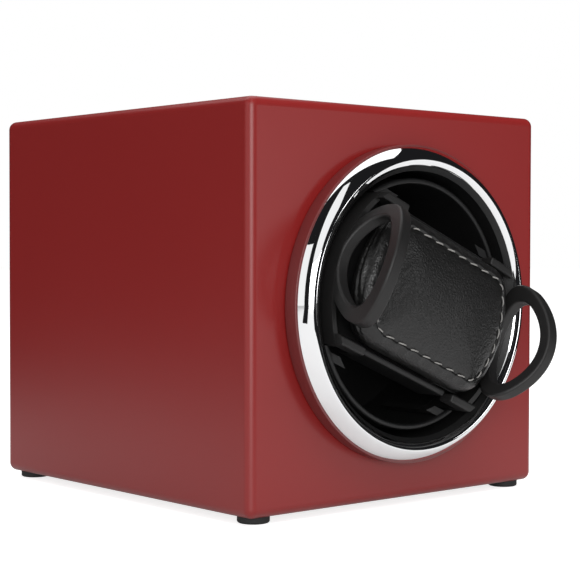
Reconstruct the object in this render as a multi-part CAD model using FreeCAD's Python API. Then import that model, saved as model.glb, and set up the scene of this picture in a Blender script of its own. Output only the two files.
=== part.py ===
import FreeCAD, Part
import math
import os

from FreeCAD import Vector

# A single watch winder box: a lacquered case stands on four small feet and a drum turns in its round front.
# A padded watch holder with two finger loops is pulled forwards out of the drum.
# Millimetres. X runs across the front, Y from front to rear, Z up from the surface that the feet stand on.
# A "reach" is measured ahead of the case's front face, and a "depth" behind it.

# Case and feet
CASE_WIDTH = 120.0
CASE_DEPTH = 130.0
CASE_HEIGHT = 118.0
CASE_WALL = 9.0
CASE_EDGE_RADIUS = 2.7
FOOT_RADIUS = 4.7
FOOT_HEIGHT = 2.0
FOOT_EDGE_RADIUS = 0.7
FOOT_INSET_X = 7.0
FOOT_INSET_Y = 6.8

# Round trim on the front
COLLAR_RADIUS = 48.5
COLLAR_REACH = 4.2
COLLAR_LEDGE = 0.3
BEZEL_RADIUS = 47.0
BEZEL_SHOULDER_REACH = 6.8
BEZEL_CREST_RADIUS = 44.0
BEZEL_CREST_REACH = 9.0
BEZEL_INNER_REACH = 7.9
BEZEL_BULGE = 0.72
BEZEL_INNER_BULGE = 0.56

# Fixed housing that the drum turns in
HOUSING_BORE_RADIUS = 39.8
HOUSING_WALL = 1.4
HOUSING_FLOOR = 2.5
HOUSING_BOSS_RADIUS = 8.5
HOUSING_BOSS_LENGTH = 14.6
HOUSING_FLANGE_RADIUS = 49.0
HOUSING_FLANGE_THICKNESS = 2.5
HOUSING_FLANGE_GAP = 1.0
HOUSING_SCREW_EDGE = 1.4
HOUSING_SCREW_COUNT = 4

# Drum, its shaft and its bearings
DRUM_RADIUS = 37.7
DRUM_WALL = 1.7
DRUM_REACH = 4.5
DRUM_RIM_RADIUS = 0.7
DRUM_BOWL_DEPTH = 30.0
DRUM_FLOOR = 2.5
DRUM_HUB_RADIUS = 6.5
DRUM_HUB_HEIGHT = 6.0
GUIDE_RIB_WIDTH = 2.4
GUIDE_RIB_HEIGHT = 3.2
GUIDE_RIB_LENGTH = 20.0
GUIDE_RIB_SET_BACK = 0.8
GUIDE_RIB_FROM_NOTCH = 0.9
SHAFT_RADIUS = 3.0
SHAFT_INSET = 2.0
WASHER_RADIUS = 6.0
WASHER_THICKNESS = 1.0
BUSH_RADIUS = 5.0
BUSH_LENGTH = 6.0
BUSH_FLANGE_RADIUS = 7.0
BUSH_FLANGE_THICKNESS = 1.2
CLIP_RADIUS = 5.5
CLIP_THICKNESS = 0.8
CLIP_GROOVE_DEPTH = 0.6
CLIP_MOUTH = 3.4

# Watch holder, turned clockwise in the drum as seen from the front
HOLDER_TURN = 23.0
PLATE_RADIUS = 37.4
PLATE_THICKNESS = 1.6
PLATE_HALF_WIDTH = 23.6
PLATE_REACH = 8.8
PLATE_DEPTH = 5.8
HOOK_LENGTH = 7.4
HOOK_REACH = 11.6
HOOK_HEIGHT = 5.4
HOOK_WIDTH = 2.6
HOOK_EDGE_RADIUS = 0.7
LOOP_THICKNESS = 4.2
LOOP_SET_IN = 0.2
LOOP_HALF_HEIGHT = 18.2
LOOP_REACH = 30.6
LOOP_REAR_REACH = 5.0
LOOP_BOW_RADIUS = 21.5
LOOP_BAND_SIDE = 4.8
LOOP_BAND_FRONT = 4.0
LOOP_BAND_REAR = 4.0
LOOP_EDGE_RADIUS = 0.8
KNUCKLE_RADIUS = 1.4
KNUCKLE_HALF_LENGTH = 8.0
KNUCKLE_FROM_AXIS = 33.0
KNUCKLE_DEPTH = 4.2
KNUCKLE_WEB = 1.8
SOCKET_LIP = 0.5
SOCKET_WALL = 1.3
SOCKET_LENGTH = 5.0
FRAME_END_GAP = 1.6
FRAME_SIDE_GAP = 2.2
FRAME_REACH = 4.0
FRAME_THICKNESS = 5.3
RAIL_SET_IN = 1.1
RAIL_WIDTH = 2.1
RAIL_REACH = 9.2
RAIL_END_GAP = 1.6
RAIL_EDGE_RADIUS = 0.9
CORE_HEIGHT = 3.5
CORE_SET_IN = 3.4
PAD_RAIL_GAP = 0.1
PAD_HALF_LENGTH = 28.6
PAD_END_RADIUS = 32.0
PAD_CORNER_RADIUS = 7.5
PAD_SIDE_HEIGHT = 7.7
PAD_SIDE_BULGE = 1.8
PAD_BASE_SPREAD = 1.0
PAD_CROWN = 1.6
PAD_CROWN_SLOPE = 3.0
PAD_SCREW_SPACING = 30.0

# Drive behind the housing
PULLEY_RADIUS = 24.0
PULLEY_WIDTH = 8.0
PULLEY_RIM = 4.5
PULLEY_WEB = 3.0
PULLEY_HUB_RADIUS = 7.0
PULLEY_HUB_LENGTH = 11.0
PULLEY_GAP = 0.9
PULLEY_HOLE_RADIUS = 4.0
PULLEY_HOLE_COUNT = 5
GRUB_RADIUS = 1.5
MOTOR_PULLEY_RADIUS = 5.0
BELT_RADIUS = 1.0
MOTOR_FLOOR_GAP = 2.0
MOTOR_SHAFT_RADIUS = 2.0
MOTOR_SHAFT_ENTRY = 5.0
GEARBOX_RADIUS = 12.0
GEARBOX_LENGTH = 16.0
GEARBOX_NOSE_RADIUS = 3.5
MOTOR_RADIUS = 10.0
MOTOR_LENGTH = 20.0
MOTOR_TAIL_RADIUS = 4.0
MOTOR_TAIL_LENGTH = 2.0
BRACKET_THICKNESS = 1.5
BRACKET_WIDTH = 28.0
BRACKET_HEIGHT = 30.0
BRACKET_FOOT_LENGTH = 19.0
MOTOR_SCREW_SPACING = 16.0
BRACKET_SCREW_SPACING = 18.0

# Rear panel, its controls and the board
PANEL_THICKNESS = 4.0
CORNER_BLOCK_SIZE = 14.0
CORNER_BLOCK_LENGTH = 16.0
KNOB_RADIUS = 7.5
KNOB_REACH = 11.0
KNOB_STAND_OFF = 2.8
KNOB_GRIP_COUNT = 18
KNOB_GRIP_RADIUS = 0.6
KNOB_EDGE_RADIUS = 0.8
KNOB_MARK_WIDTH = 1.0
KNOB_MARK_DEPTH = 0.4
KNOB_FROM_JACK = 6.0
KNOB_RISE = 14.0
CONTROL_SHAFT_RADIUS = 2.5
CONTROL_BUSH_RADIUS = 3.5
CONTROL_BODY_SIZE = 14.0
CONTROL_BODY_DEPTH = 9.0
CONTROL_NUT_RADIUS = 5.6
CONTROL_NUT_HEIGHT = 2.2
JACK_FROM_BLOCK = 4.5
JACK_BARREL_RADIUS = 4.0
JACK_FLANGE_RADIUS = 5.5
JACK_FLANGE_HEIGHT = 1.5
JACK_BORE_RADIUS = 2.75
JACK_PIN_RADIUS = 1.0
JACK_BODY_WIDTH = 9.0
JACK_BODY_HEIGHT = 10.0
JACK_BODY_DEPTH = 14.0
BOARD_WIDTH = 32.0
BOARD_LENGTH = 42.0
BOARD_THICKNESS = 1.6
BOARD_FROM_WALL = 4.0
BOARD_FROM_BLOCKS = 2.0
BOARD_SCREW_INSET = 4.0
STANDOFF_RADIUS = 2.5
STANDOFF_HEIGHT = 5.0
CHIP_WIDTH = 6.0
CHIP_LENGTH = 10.0
CHIP_HEIGHT = 2.0
CAPACITOR_RADIUS = 3.2
CAPACITOR_HEIGHT = 8.0
TERMINAL_LENGTH = 20.0
TERMINAL_DEPTH = 8.0
TERMINAL_HEIGHT = 11.0
WIRE_RADIUS = 0.6
WIRE_PITCH = 2.5
WIRE_LOOP_OUT = 3.25

# Wood screws and small machine screws
SCREW_RADIUS = 1.25
SCREW_HEAD_RADIUS = 2.5
SCREW_HEAD_HEIGHT = 1.5
SCREW_SLOT_WIDTH = 0.7
SCREW_SLOT_DEPTH = 0.7
SCREW_BITE = 7.0
BOARD_SCREW_RADIUS = 1.0
BOARD_SCREW_HEAD_RADIUS = 1.9
BOARD_SCREW_BITE = 4.0

# Fits: radial play of parts seated together, of running shafts, and between parts that move apart
SEAT_FIT = 0.1
SNUG_FIT = 0.02
RUNNING_FIT = 0.05
MOVING_GAP = 0.3
SLIDE_GAP = 0.4
NOTCH_GAP = 0.8

# Places worked out from the sizes above
FRONT_Y = -(CASE_DEPTH + KNOB_REACH - LOOP_REACH) / 2
REAR_Y = FRONT_Y + CASE_DEPTH
CASE_FLOOR_Z = FOOT_HEIGHT + CASE_WALL
AXIS_Z = FOOT_HEIGHT + CASE_HEIGHT / 2
INNER_HALF_WIDTH = CASE_WIDTH / 2 - CASE_WALL
INNER_HALF_HEIGHT = CASE_HEIGHT / 2 - CASE_WALL
PANEL_FRONT_Y = REAR_Y - PANEL_THICKNESS

HOUSING_RADIUS = HOUSING_BORE_RADIUS + HOUSING_WALL
RING_BORE_RADIUS = HOUSING_RADIUS + SEAT_FIT
DRUM_FLOOR_REAR_Y = FRONT_Y + DRUM_BOWL_DEPTH + DRUM_FLOOR
WASHER_Y = DRUM_FLOOR_REAR_Y + RUNNING_FIT
FRONT_BUSH_Y = WASHER_Y + WASHER_THICKNESS + RUNNING_FIT
HOUSING_FLOOR_Y = FRONT_BUSH_Y + BUSH_FLANGE_THICKNESS
BOSS_REAR_Y = HOUSING_FLOOR_Y + HOUSING_FLOOR + HOUSING_BOSS_LENGTH
CLIP_Y = BOSS_REAR_Y + BUSH_FLANGE_THICKNESS + RUNNING_FIT
PULLEY_Y = CLIP_Y + CLIP_THICKNESS + PULLEY_GAP
BELT_Y = PULLEY_Y + PULLEY_WIDTH / 2
SHAFT_END_Y = PULLEY_Y + PULLEY_HUB_LENGTH
HUB_FRONT_Y = FRONT_Y + DRUM_BOWL_DEPTH - DRUM_HUB_HEIGHT
FLANGE_Y = FRONT_Y + CASE_WALL
HOUSING_SCREW_RADIUS = HOUSING_RADIUS + SCREW_HEAD_RADIUS + HOUSING_SCREW_EDGE

NOTCH_HALF_WIDTH = PLATE_HALF_WIDTH + SLIDE_GAP
NOTCH_DEPTH = PLATE_DEPTH + NOTCH_GAP
PLATE_INNER_RADIUS = PLATE_RADIUS - PLATE_THICKNESS
HOOK_INNER = PLATE_HALF_WIDTH - HOOK_WIDTH
HOOK_START_X = math.sqrt(PLATE_INNER_RADIUS ** 2 - PLATE_HALF_WIDTH ** 2) - HOOK_LENGTH
FRAME_END_RADIUS = PLATE_INNER_RADIUS - FRAME_END_GAP
FRAME_HALF_WIDTH = HOOK_INNER - FRAME_SIDE_GAP
FRAME_REAR_Y = FRONT_Y - FRAME_REACH + FRAME_THICKNESS
RAIL_HALF_LENGTH = HOOK_START_X - RAIL_END_GAP
RAIL_HALF_WIDTH = PLATE_HALF_WIDTH - RAIL_SET_IN
RAIL_INNER = RAIL_HALF_WIDTH - RAIL_WIDTH
CORE_REACH = FRAME_REACH + CORE_HEIGHT
PAD_HALF_WIDTH = RAIL_INNER - PAD_RAIL_GAP - PAD_SIDE_BULGE
PAD_SEAM_REACH = CORE_REACH + PAD_SIDE_HEIGHT
SOCKET_RADIUS = KNUCKLE_RADIUS + MOVING_GAP

MOTOR_Z = CASE_FLOOR_Z + MOTOR_FLOOR_GAP + GEARBOX_RADIUS
CENTRE_DISTANCE = AXIS_Z - MOTOR_Z
BRACKET_Y = PULLEY_Y + PULLEY_WIDTH + PULLEY_GAP
GEARBOX_Y = BRACKET_Y + BRACKET_THICKNESS
MOTOR_Y = GEARBOX_Y + GEARBOX_LENGTH
MOTOR_TAIL_Y = MOTOR_Y + MOTOR_LENGTH
GROOVE_RADIUS = BELT_RADIUS + MOVING_GAP

BLOCK_FRONT_Y = PANEL_FRONT_Y - CORNER_BLOCK_LENGTH
PANEL_SCREW_X = INNER_HALF_WIDTH - CORNER_BLOCK_SIZE / 2
PANEL_SCREW_Z = INNER_HALF_HEIGHT - CORNER_BLOCK_SIZE / 2
KNOB_Z = AXIS_Z + KNOB_RISE
JACK_X = CORNER_BLOCK_SIZE + JACK_FROM_BLOCK + JACK_BODY_WIDTH / 2 - INNER_HALF_WIDTH
JACK_Z = MOTOR_Z
KNOB_SPACING = -2 * (JACK_X + KNOB_FROM_JACK)
CONTROL_FRONT_Y = PANEL_FRONT_Y - CONTROL_BODY_DEPTH
JACK_FRONT_Y = PANEL_FRONT_Y - JACK_BODY_DEPTH
BOARD_X = -INNER_HALF_WIDTH + BOARD_FROM_WALL
BOARD_REAR_Y = BLOCK_FRONT_Y - BOARD_FROM_BLOCKS
BOARD_Y = BOARD_REAR_Y - BOARD_LENGTH
BOARD_Z = CASE_FLOOR_Z + STANDOFF_HEIGHT
BOARD_TOP_Z = BOARD_Z + BOARD_THICKNESS
TERMINAL_X = BOARD_X + BOARD_WIDTH - TERMINAL_LENGTH

ALONG_Y = Vector(0, 1, 0)
UP = Vector(0, 0, 1)
DRUM_AXIS = Vector(0, FRONT_Y, AXIS_Z)


def block(low, high):
    """Box between two opposite corners."""
    size = high - low
    return Part.makeBox(size.x, size.y, size.z, low)


def disc(radius, y_from, y_to, x=0.0, z=AXIS_Z):
    """Cylinder that lies along Y."""
    return Part.makeCylinder(radius, y_to - y_from, Vector(x, y_from, z), ALONG_Y)


def sleeve(outer, inner, y_from, y_to, x=0.0, z=AXIS_Z):
    """Tube that lies along Y."""
    return disc(outer, y_from, y_to, x, z).cut(disc(inner, y_from, y_to, x, z))


def outline(start, steps):
    """Closed wire from a point, through lines (one point) and arcs (a point on the arc, then its end)."""
    edges = []
    here = start
    for step in steps:
        if len(step) == 1:
            edges.append(Part.LineSegment(here, step[0]).toShape())
        else:
            edges.append(Part.Arc(here, step[0], step[1]).toShape())
        here = step[-1]
    if here.distanceToPoint(start) > 1e-6:
        edges.append(Part.LineSegment(here, start).toShape())
    return Part.Wire(edges)


def turned(start, steps):
    """Solid of revolution about the drum axis, from a profile of (radius, y) points."""
    def place(point):
        return Vector(point[0], point[1], AXIS_Z)
    wire = outline(place(start), [[place(point) for point in step] for step in steps])
    return Part.Face(wire).revolve(DRUM_AXIS, ALONG_Y, 360)


def around(radius, count, first=0.0):
    """Evenly spaced (x, z) places on a circle about the drum axis."""
    places = []
    for index in range(count):
        angle = math.radians(first + 360.0 * index / count)
        places.append((radius * math.cos(angle), AXIS_Z + radius * math.sin(angle)))
    return places


def hole(seat, outward, radius, length):
    """Round hole that starts at a seat and runs inwards."""
    return Part.makeCylinder(radius, length, seat, outward * -1)


def pan_screw(seat, outward, radius, length, head_radius):
    """Pan-head screw with a cross recess; the head's underside lies at the seat."""
    head = Part.makeCylinder(head_radius, SCREW_HEAD_HEIGHT, Vector(0, 0, 0), UP)
    head = head.makeFillet(SCREW_HEAD_HEIGHT / 2, [edge for edge in head.Edges if is_top_rim(edge)])
    half = head_radius * 0.62
    recess_z = SCREW_HEAD_HEIGHT - SCREW_SLOT_DEPTH
    for wide, narrow in ((half, SCREW_SLOT_WIDTH / 2), (SCREW_SLOT_WIDTH / 2, half)):
        head = head.cut(block(Vector(-wide, -narrow, recess_z), Vector(wide, narrow, SCREW_HEAD_HEIGHT)))
    screw = head.fuse(Part.makeCylinder(radius, length, Vector(0, 0, -length), UP)).removeSplitter()
    screw.Placement = FreeCAD.Placement(seat, FreeCAD.Rotation(UP, outward))
    return screw


def is_top_rim(edge):
    """True for the round edge at the top of a screw head that stands on Z = 0."""
    return edge.Closed and abs(edge.CenterOfMass.z - SCREW_HEAD_HEIGHT) < 1e-6


def held(shape):
    """Turn a shape that was drawn level to the holder's angle in the drum."""
    turned_shape = shape.copy()
    turned_shape.rotate(DRUM_AXIS, ALONG_Y, HOLDER_TURN)
    return turned_shape


def half_turned(shape):
    """The same shape at the other end of the holder."""
    other = shape.copy()
    other.rotate(DRUM_AXIS, ALONG_Y, 180)
    return other


def both_ends(shape):
    """A shape and its copy at the other end of the holder."""
    return shape.fuse(half_turned(shape))


def oval(x, half_height, half_reach, bow_radius, centre_reach):
    """Oval face of four tangent arcs, square to X: two long bows and two round ends."""
    offset = bow_radius - half_reach
    spare = bow_radius ** 2 - half_height ** 2 - offset ** 2
    end_radius = spare / (2 * (bow_radius - half_height))
    end_height = half_height - end_radius
    lean = math.atan2(offset, end_height)
    joint_height = end_height + end_radius * math.cos(lean)
    joint_reach = end_radius * math.sin(lean)

    def place(height, reach):
        return Vector(x, FRONT_Y - centre_reach - reach, AXIS_Z + height)
    steps = [
        [place(half_height, 0), place(joint_height, -joint_reach)],
        [place(0, -half_reach), place(-joint_height, -joint_reach)],
        [place(-half_height, 0), place(-joint_height, joint_reach)],
        [place(0, half_reach), place(joint_height, joint_reach)],
    ]
    return Part.Face(outline(place(joint_height, joint_reach), steps))


def pad_outline(reach, grow):
    """Outline of the pad at one reach: straight sides, bowed ends and round corners, grown all round."""
    half_width = PAD_HALF_WIDTH + grow
    end_radius = PAD_END_RADIUS + grow
    corner = PAD_CORNER_RADIUS + grow
    end_centre = PAD_HALF_LENGTH - PAD_END_RADIUS
    corner_height = half_width - corner
    corner_x = end_centre + math.sqrt((end_radius - corner) ** 2 - corner_height ** 2)
    lean = math.atan2(corner_height, corner_x - end_centre)
    middle = (lean + math.pi / 2) / 2
    joint = (corner_x + corner * math.cos(lean), corner_height + corner * math.sin(lean))
    bend = (corner_x + corner * math.cos(middle), corner_height + corner * math.sin(middle))

    def place(x, height):
        return Vector(x, FRONT_Y - reach, AXIS_Z + height)
    steps = [
        [place(corner_x, half_width)],
        [place(*bend), place(*joint)],
        [place(end_centre + end_radius, 0), place(joint[0], -joint[1])],
        [place(bend[0], -bend[1]), place(corner_x, -half_width)],
        [place(-corner_x, -half_width)],
        [place(-bend[0], -bend[1]), place(-joint[0], -joint[1])],
        [place(-end_centre - end_radius, 0), place(-joint[0], joint[1])],
        [place(-bend[0], bend[1]), place(-corner_x, half_width)],
    ]
    return outline(place(-corner_x, half_width), steps)


def rounded_path(points):
    """Wire of straight runs joined by tangent arcs, each as large as its two runs allow."""
    edges = []
    here = points[0]
    for before, corner, after in zip(points, points[1:], points[2:]):
        inward = (before - corner).normalize()
        onward = (after - corner).normalize()
        set_back = 0.45 * min((before - corner).Length, (after - corner).Length)
        start = corner + inward * set_back
        end = corner + onward * set_back
        half_turn = (math.pi - inward.getAngle(onward)) / 2
        radius = set_back / math.tan(half_turn)
        bisector = (inward + onward).normalize()
        centre = corner + bisector * (radius / math.cos(half_turn))
        edges.append(Part.LineSegment(here, start).toShape())
        edges.append(Part.Arc(start, centre - bisector * radius, end).toShape())
        here = end
    edges.append(Part.LineSegment(here, points[-1]).toShape())
    return Part.Wire(edges)


def wire_run(points):
    """Round insulated wire along a path of points."""
    path = rounded_path(points)
    section = Part.Wire(Part.makeCircle(WIRE_RADIUS, points[0], points[1] - points[0]))
    return path.makePipeShell([section], True, True)


def case_shell():
    """Lacquered box, open at the rear, with a round opening in its front wall."""
    half_width = CASE_WIDTH / 2
    top = FOOT_HEIGHT + CASE_HEIGHT
    shell = block(Vector(-half_width, FRONT_Y, FOOT_HEIGHT), Vector(half_width, REAR_Y, top))
    shell = shell.makeFillet(CASE_EDGE_RADIUS, shell.Edges)
    low = Vector(-INNER_HALF_WIDTH, FLANGE_Y, AXIS_Z - INNER_HALF_HEIGHT)
    high = Vector(INNER_HALF_WIDTH, REAR_Y, AXIS_Z + INNER_HALF_HEIGHT)
    shell = shell.cut(block(low, high))
    shell = shell.cut(disc(RING_BORE_RADIUS, FRONT_Y, FLANGE_Y))
    for x, z in housing_screw_places():
        shell = shell.cut(hole(Vector(x, FLANGE_Y, z), ALONG_Y, SCREW_RADIUS + SNUG_FIT, SCREW_BITE))
    for seat in bracket_screw_seats():
        depth = SCREW_BITE + BRACKET_THICKNESS
        shell = shell.cut(hole(seat, UP, SCREW_RADIUS + SNUG_FIT, depth))
    return shell


def feet():
    """Four round feet under the corners, by name."""
    across = CASE_WIDTH / 2 - FOOT_INSET_X
    solids = {}
    for row, y in (("front", FRONT_Y + FOOT_INSET_Y), ("rear", REAR_Y - FOOT_INSET_Y)):
        for side, x in (("left", -across), ("right", across)):
            foot = Part.makeCylinder(FOOT_RADIUS, FOOT_HEIGHT, Vector(x, y, 0), UP)
            rim = [edge for edge in foot.Edges if edge.Closed and edge.CenterOfMass.z < FOOT_HEIGHT / 2]
            solids["foot_%s_%s" % (row, side)] = foot.makeFillet(FOOT_EDGE_RADIUS, rim)
    return solids


def front_collar():
    """Lacquered ring on the case's front, sloping in to the bezel's foot."""
    front_y = FRONT_Y - COLLAR_REACH
    ledge = BEZEL_RADIUS + COLLAR_LEDGE
    steps = [[(ledge, front_y)], [(RING_BORE_RADIUS, front_y)], [(RING_BORE_RADIUS, FRONT_Y)]]
    return turned((COLLAR_RADIUS, FRONT_Y), steps)


def bowed(start, end, centre, bulge):
    """Point on a bow between two profile points, pushed away from a centre by a share of its depth."""
    middle = ((start[0] + end[0]) / 2, (start[1] + end[1]) / 2)
    corner = (start[0] + end[0] - centre[0], start[1] + end[1] - centre[1])
    share = bulge * 2 - 1
    return (middle[0] + (corner[0] - middle[0]) * share, middle[1] + (corner[1] - middle[1]) * share)


def chrome_bezel():
    """Bright ring with a rounded crest that slopes in to the housing's lip."""
    rear = FRONT_Y - COLLAR_REACH
    shoulder = (BEZEL_RADIUS, FRONT_Y - BEZEL_SHOULDER_REACH)
    crest = (BEZEL_CREST_RADIUS, FRONT_Y - BEZEL_CREST_REACH)
    inner = (RING_BORE_RADIUS, FRONT_Y - BEZEL_INNER_REACH)
    outside = bowed(shoulder, crest, (crest[0], shoulder[1]), BEZEL_BULGE)
    inside = bowed(crest, inner, (crest[0], inner[1]), BEZEL_INNER_BULGE)
    steps = [[shoulder], [outside, crest], [inside, inner], [(RING_BORE_RADIUS, rear)]]
    return turned((BEZEL_RADIUS, rear), steps)


def housing_screw_places():
    """Places of the screws that hold the housing to the front wall."""
    return around(HOUSING_SCREW_RADIUS, HOUSING_SCREW_COUNT, 45.0)


def drum_housing():
    """Fixed cup with a chamfered lip, a flange behind the front wall and a boss for the shaft's bushes."""
    lip_y = FRONT_Y - BEZEL_INNER_REACH
    flange_rear = FLANGE_Y + HOUSING_FLANGE_THICKNESS
    floor_rear = HOUSING_FLOOR_Y + HOUSING_FLOOR
    bush_bore = BUSH_RADIUS + SNUG_FIT
    steps = [
        [(HOUSING_RADIUS, floor_rear)],
        [(HOUSING_BOSS_RADIUS, floor_rear)],
        [(HOUSING_BOSS_RADIUS, BOSS_REAR_Y)],
        [(bush_bore, BOSS_REAR_Y)],
        [(bush_bore, HOUSING_FLOOR_Y)],
        [(HOUSING_BORE_RADIUS, HOUSING_FLOOR_Y)],
        [(HOUSING_BORE_RADIUS, lip_y + HOUSING_WALL)],
    ]
    housing = turned((HOUSING_RADIUS, lip_y), steps).fuse(housing_flange()).removeSplitter()
    for x, z in housing_screw_places():
        seat = Vector(x, flange_rear, z)
        housing = housing.cut(hole(seat, ALONG_Y, SCREW_RADIUS + SEAT_FIT, HOUSING_FLANGE_THICKNESS))
    return housing


def housing_flange():
    """Flat ring round the cup with an ear under each screw, kept clear of the case's inner walls."""
    rear_y = FLANGE_Y + HOUSING_FLANGE_THICKNESS
    flange = disc(HOUSING_FLANGE_RADIUS, FLANGE_Y, rear_y)
    for x, z in housing_screw_places():
        flange = flange.fuse(disc(SCREW_HEAD_RADIUS + HOUSING_SCREW_EDGE / 2, FLANGE_Y, rear_y, x, z))
    half_width = INNER_HALF_WIDTH - HOUSING_FLANGE_GAP
    half_height = INNER_HALF_HEIGHT - HOUSING_FLANGE_GAP
    low = Vector(-half_width, FLANGE_Y, AXIS_Z - half_height)
    room = block(low, Vector(half_width, rear_y, AXIS_Z + half_height))
    wall_middle = (HOUSING_BORE_RADIUS + HOUSING_RADIUS) / 2
    return flange.common(room).cut(disc(wall_middle, FLANGE_Y, rear_y))


def housing_screws():
    """Screws through the housing's flange into the front wall."""
    seat_y = FLANGE_Y + HOUSING_FLANGE_THICKNESS
    solids = []
    for x, z in housing_screw_places():
        length = HOUSING_FLANGE_THICKNESS + SCREW_BITE
        solids.append(pan_screw(Vector(x, seat_y, z), ALONG_Y, SCREW_RADIUS, length, SCREW_HEAD_RADIUS))
    return Part.makeCompound(solids)


def drum():
    """Turning bowl with two notches in its rim for the holder's end plates, and ribs beside the notches."""
    rim_y = FRONT_Y - DRUM_REACH
    bowl_radius = DRUM_RADIUS - DRUM_WALL
    bowl_floor_y = FRONT_Y + DRUM_BOWL_DEPTH
    shell = disc(DRUM_RADIUS, rim_y, DRUM_FLOOR_REAR_Y).cut(disc(bowl_radius, rim_y, bowl_floor_y))
    rims = [edge for edge in shell.Edges if edge.Closed and abs(edge.CenterOfMass.y - rim_y) < 1e-6]
    shell = shell.makeFillet(DRUM_RIM_RADIUS, rims)
    shell = shell.fuse(disc(DRUM_HUB_RADIUS, HUB_FRONT_Y, bowl_floor_y))
    shell = shell.fuse(guide_ribs(bowl_radius + DRUM_WALL / 2))
    low = Vector(-DRUM_RADIUS, rim_y, AXIS_Z - NOTCH_HALF_WIDTH)
    high = Vector(DRUM_RADIUS, FRONT_Y + NOTCH_DEPTH, AXIS_Z + NOTCH_HALF_WIDTH)
    rim_only = disc(DRUM_RADIUS, rim_y, high.y).cut(disc(bowl_radius - GUIDE_RIB_HEIGHT, rim_y, high.y))
    shell = shell.cut(block(low, high).common(rim_only))
    shell = shell.cut(disc(SHAFT_RADIUS + SNUG_FIT, HUB_FRONT_Y + SHAFT_INSET, DRUM_FLOOR_REAR_Y))
    shell = shell.cut(disc(SCREW_RADIUS + SEAT_FIT, HUB_FRONT_Y, HUB_FRONT_Y + SHAFT_INSET))
    return held(shell.removeSplitter())


def guide_ribs(outer_radius):
    """Four ribs on the bowl's wall that guide the end plates, just outside the notches."""
    rib_y = FRONT_Y - DRUM_REACH + GUIDE_RIB_SET_BACK
    inner_radius = DRUM_RADIUS - DRUM_WALL - GUIDE_RIB_HEIGHT
    ring = sleeve(outer_radius, inner_radius, rib_y, rib_y + GUIDE_RIB_LENGTH)
    bottom = NOTCH_HALF_WIDTH + GUIDE_RIB_FROM_NOTCH
    low = Vector(0, rib_y, AXIS_Z + bottom)
    upper = block(low, Vector(outer_radius, rib_y + GUIDE_RIB_LENGTH, AXIS_Z + bottom + GUIDE_RIB_WIDTH))
    lower = upper.mirror(DRUM_AXIS, UP)
    return both_ends(ring.common(upper.fuse(lower)))


def drum_shaft():
    """Steel shaft from the drum's hub through both bushes to the pulley, with a clip groove and a tapped end."""
    front_y = HUB_FRONT_Y + SHAFT_INSET
    shaft = disc(SHAFT_RADIUS, front_y, SHAFT_END_Y)
    shaft = shaft.cut(sleeve(SHAFT_RADIUS, SHAFT_RADIUS - CLIP_GROOVE_DEPTH, CLIP_Y, CLIP_Y + CLIP_THICKNESS))
    return shaft.cut(disc(SCREW_RADIUS + SNUG_FIT, front_y, front_y + SCREW_BITE))


def hub_screw():
    """Screw through the drum's hub into the end of the shaft."""
    length = SHAFT_INSET + SCREW_BITE
    return pan_screw(Vector(0, HUB_FRONT_Y, AXIS_Z), ALONG_Y * -1, SCREW_RADIUS, length, SCREW_HEAD_RADIUS)


def bush(flange_y, sleeve_from, sleeve_to):
    """Flanged bronze bush on the drum axis."""
    bore = SHAFT_RADIUS + RUNNING_FIT
    flange = sleeve(BUSH_FLANGE_RADIUS, bore, flange_y, flange_y + BUSH_FLANGE_THICKNESS)
    return flange.fuse(sleeve(BUSH_RADIUS, bore, sleeve_from, sleeve_to)).removeSplitter()


def front_bush():
    """Bush at the front of the housing's boss."""
    return bush(FRONT_BUSH_Y, HOUSING_FLOOR_Y, HOUSING_FLOOR_Y + BUSH_LENGTH)


def rear_bush():
    """Bush at the rear of the housing's boss."""
    return bush(BOSS_REAR_Y, BOSS_REAR_Y - BUSH_LENGTH, BOSS_REAR_Y)


def thrust_washer():
    """Plastic washer between the drum and the front bush."""
    return sleeve(WASHER_RADIUS, SHAFT_RADIUS + RUNNING_FIT, WASHER_Y, WASHER_Y + WASHER_THICKNESS)


def shaft_clip():
    """Open retaining clip in the shaft's groove, behind the rear bush."""
    groove_radius = SHAFT_RADIUS - CLIP_GROOVE_DEPTH + SNUG_FIT
    rear_y = CLIP_Y + CLIP_THICKNESS
    clip = sleeve(CLIP_RADIUS, groove_radius, CLIP_Y, rear_y)
    half = CLIP_MOUTH / 2
    return clip.cut(block(Vector(-half, CLIP_Y, AXIS_Z - CLIP_RADIUS), Vector(half, rear_y, AXIS_Z)))


def driven_pulley():
    """Grooved pulley on the drum's shaft, with a web, round holes and a hub."""
    rear_y = PULLEY_Y + PULLEY_WIDTH
    pulley = sleeve(PULLEY_RADIUS, PULLEY_RADIUS - PULLEY_RIM, PULLEY_Y, rear_y)
    pulley = pulley.fuse(disc(PULLEY_RADIUS - PULLEY_RIM / 2, BELT_Y - PULLEY_WEB / 2, BELT_Y + PULLEY_WEB / 2))
    pulley = pulley.fuse(disc(PULLEY_HUB_RADIUS, PULLEY_Y, SHAFT_END_Y))
    hole_circle = (PULLEY_HUB_RADIUS + PULLEY_RADIUS - PULLEY_RIM) / 2
    for x, z in around(hole_circle, PULLEY_HOLE_COUNT):
        pulley = pulley.cut(disc(PULLEY_HOLE_RADIUS, PULLEY_Y, rear_y, x, z))
    pulley = pulley.cut(disc(SHAFT_RADIUS + SNUG_FIT, PULLEY_Y, SHAFT_END_Y))
    pulley = pulley.cut(Part.makeTorus(PULLEY_RADIUS, GROOVE_RADIUS, Vector(0, BELT_Y, AXIS_Z), ALONG_Y))
    seat = grub_seat()
    return pulley.cut(hole(seat, UP, GRUB_RADIUS + SNUG_FIT, PULLEY_HUB_RADIUS - SHAFT_RADIUS))


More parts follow.
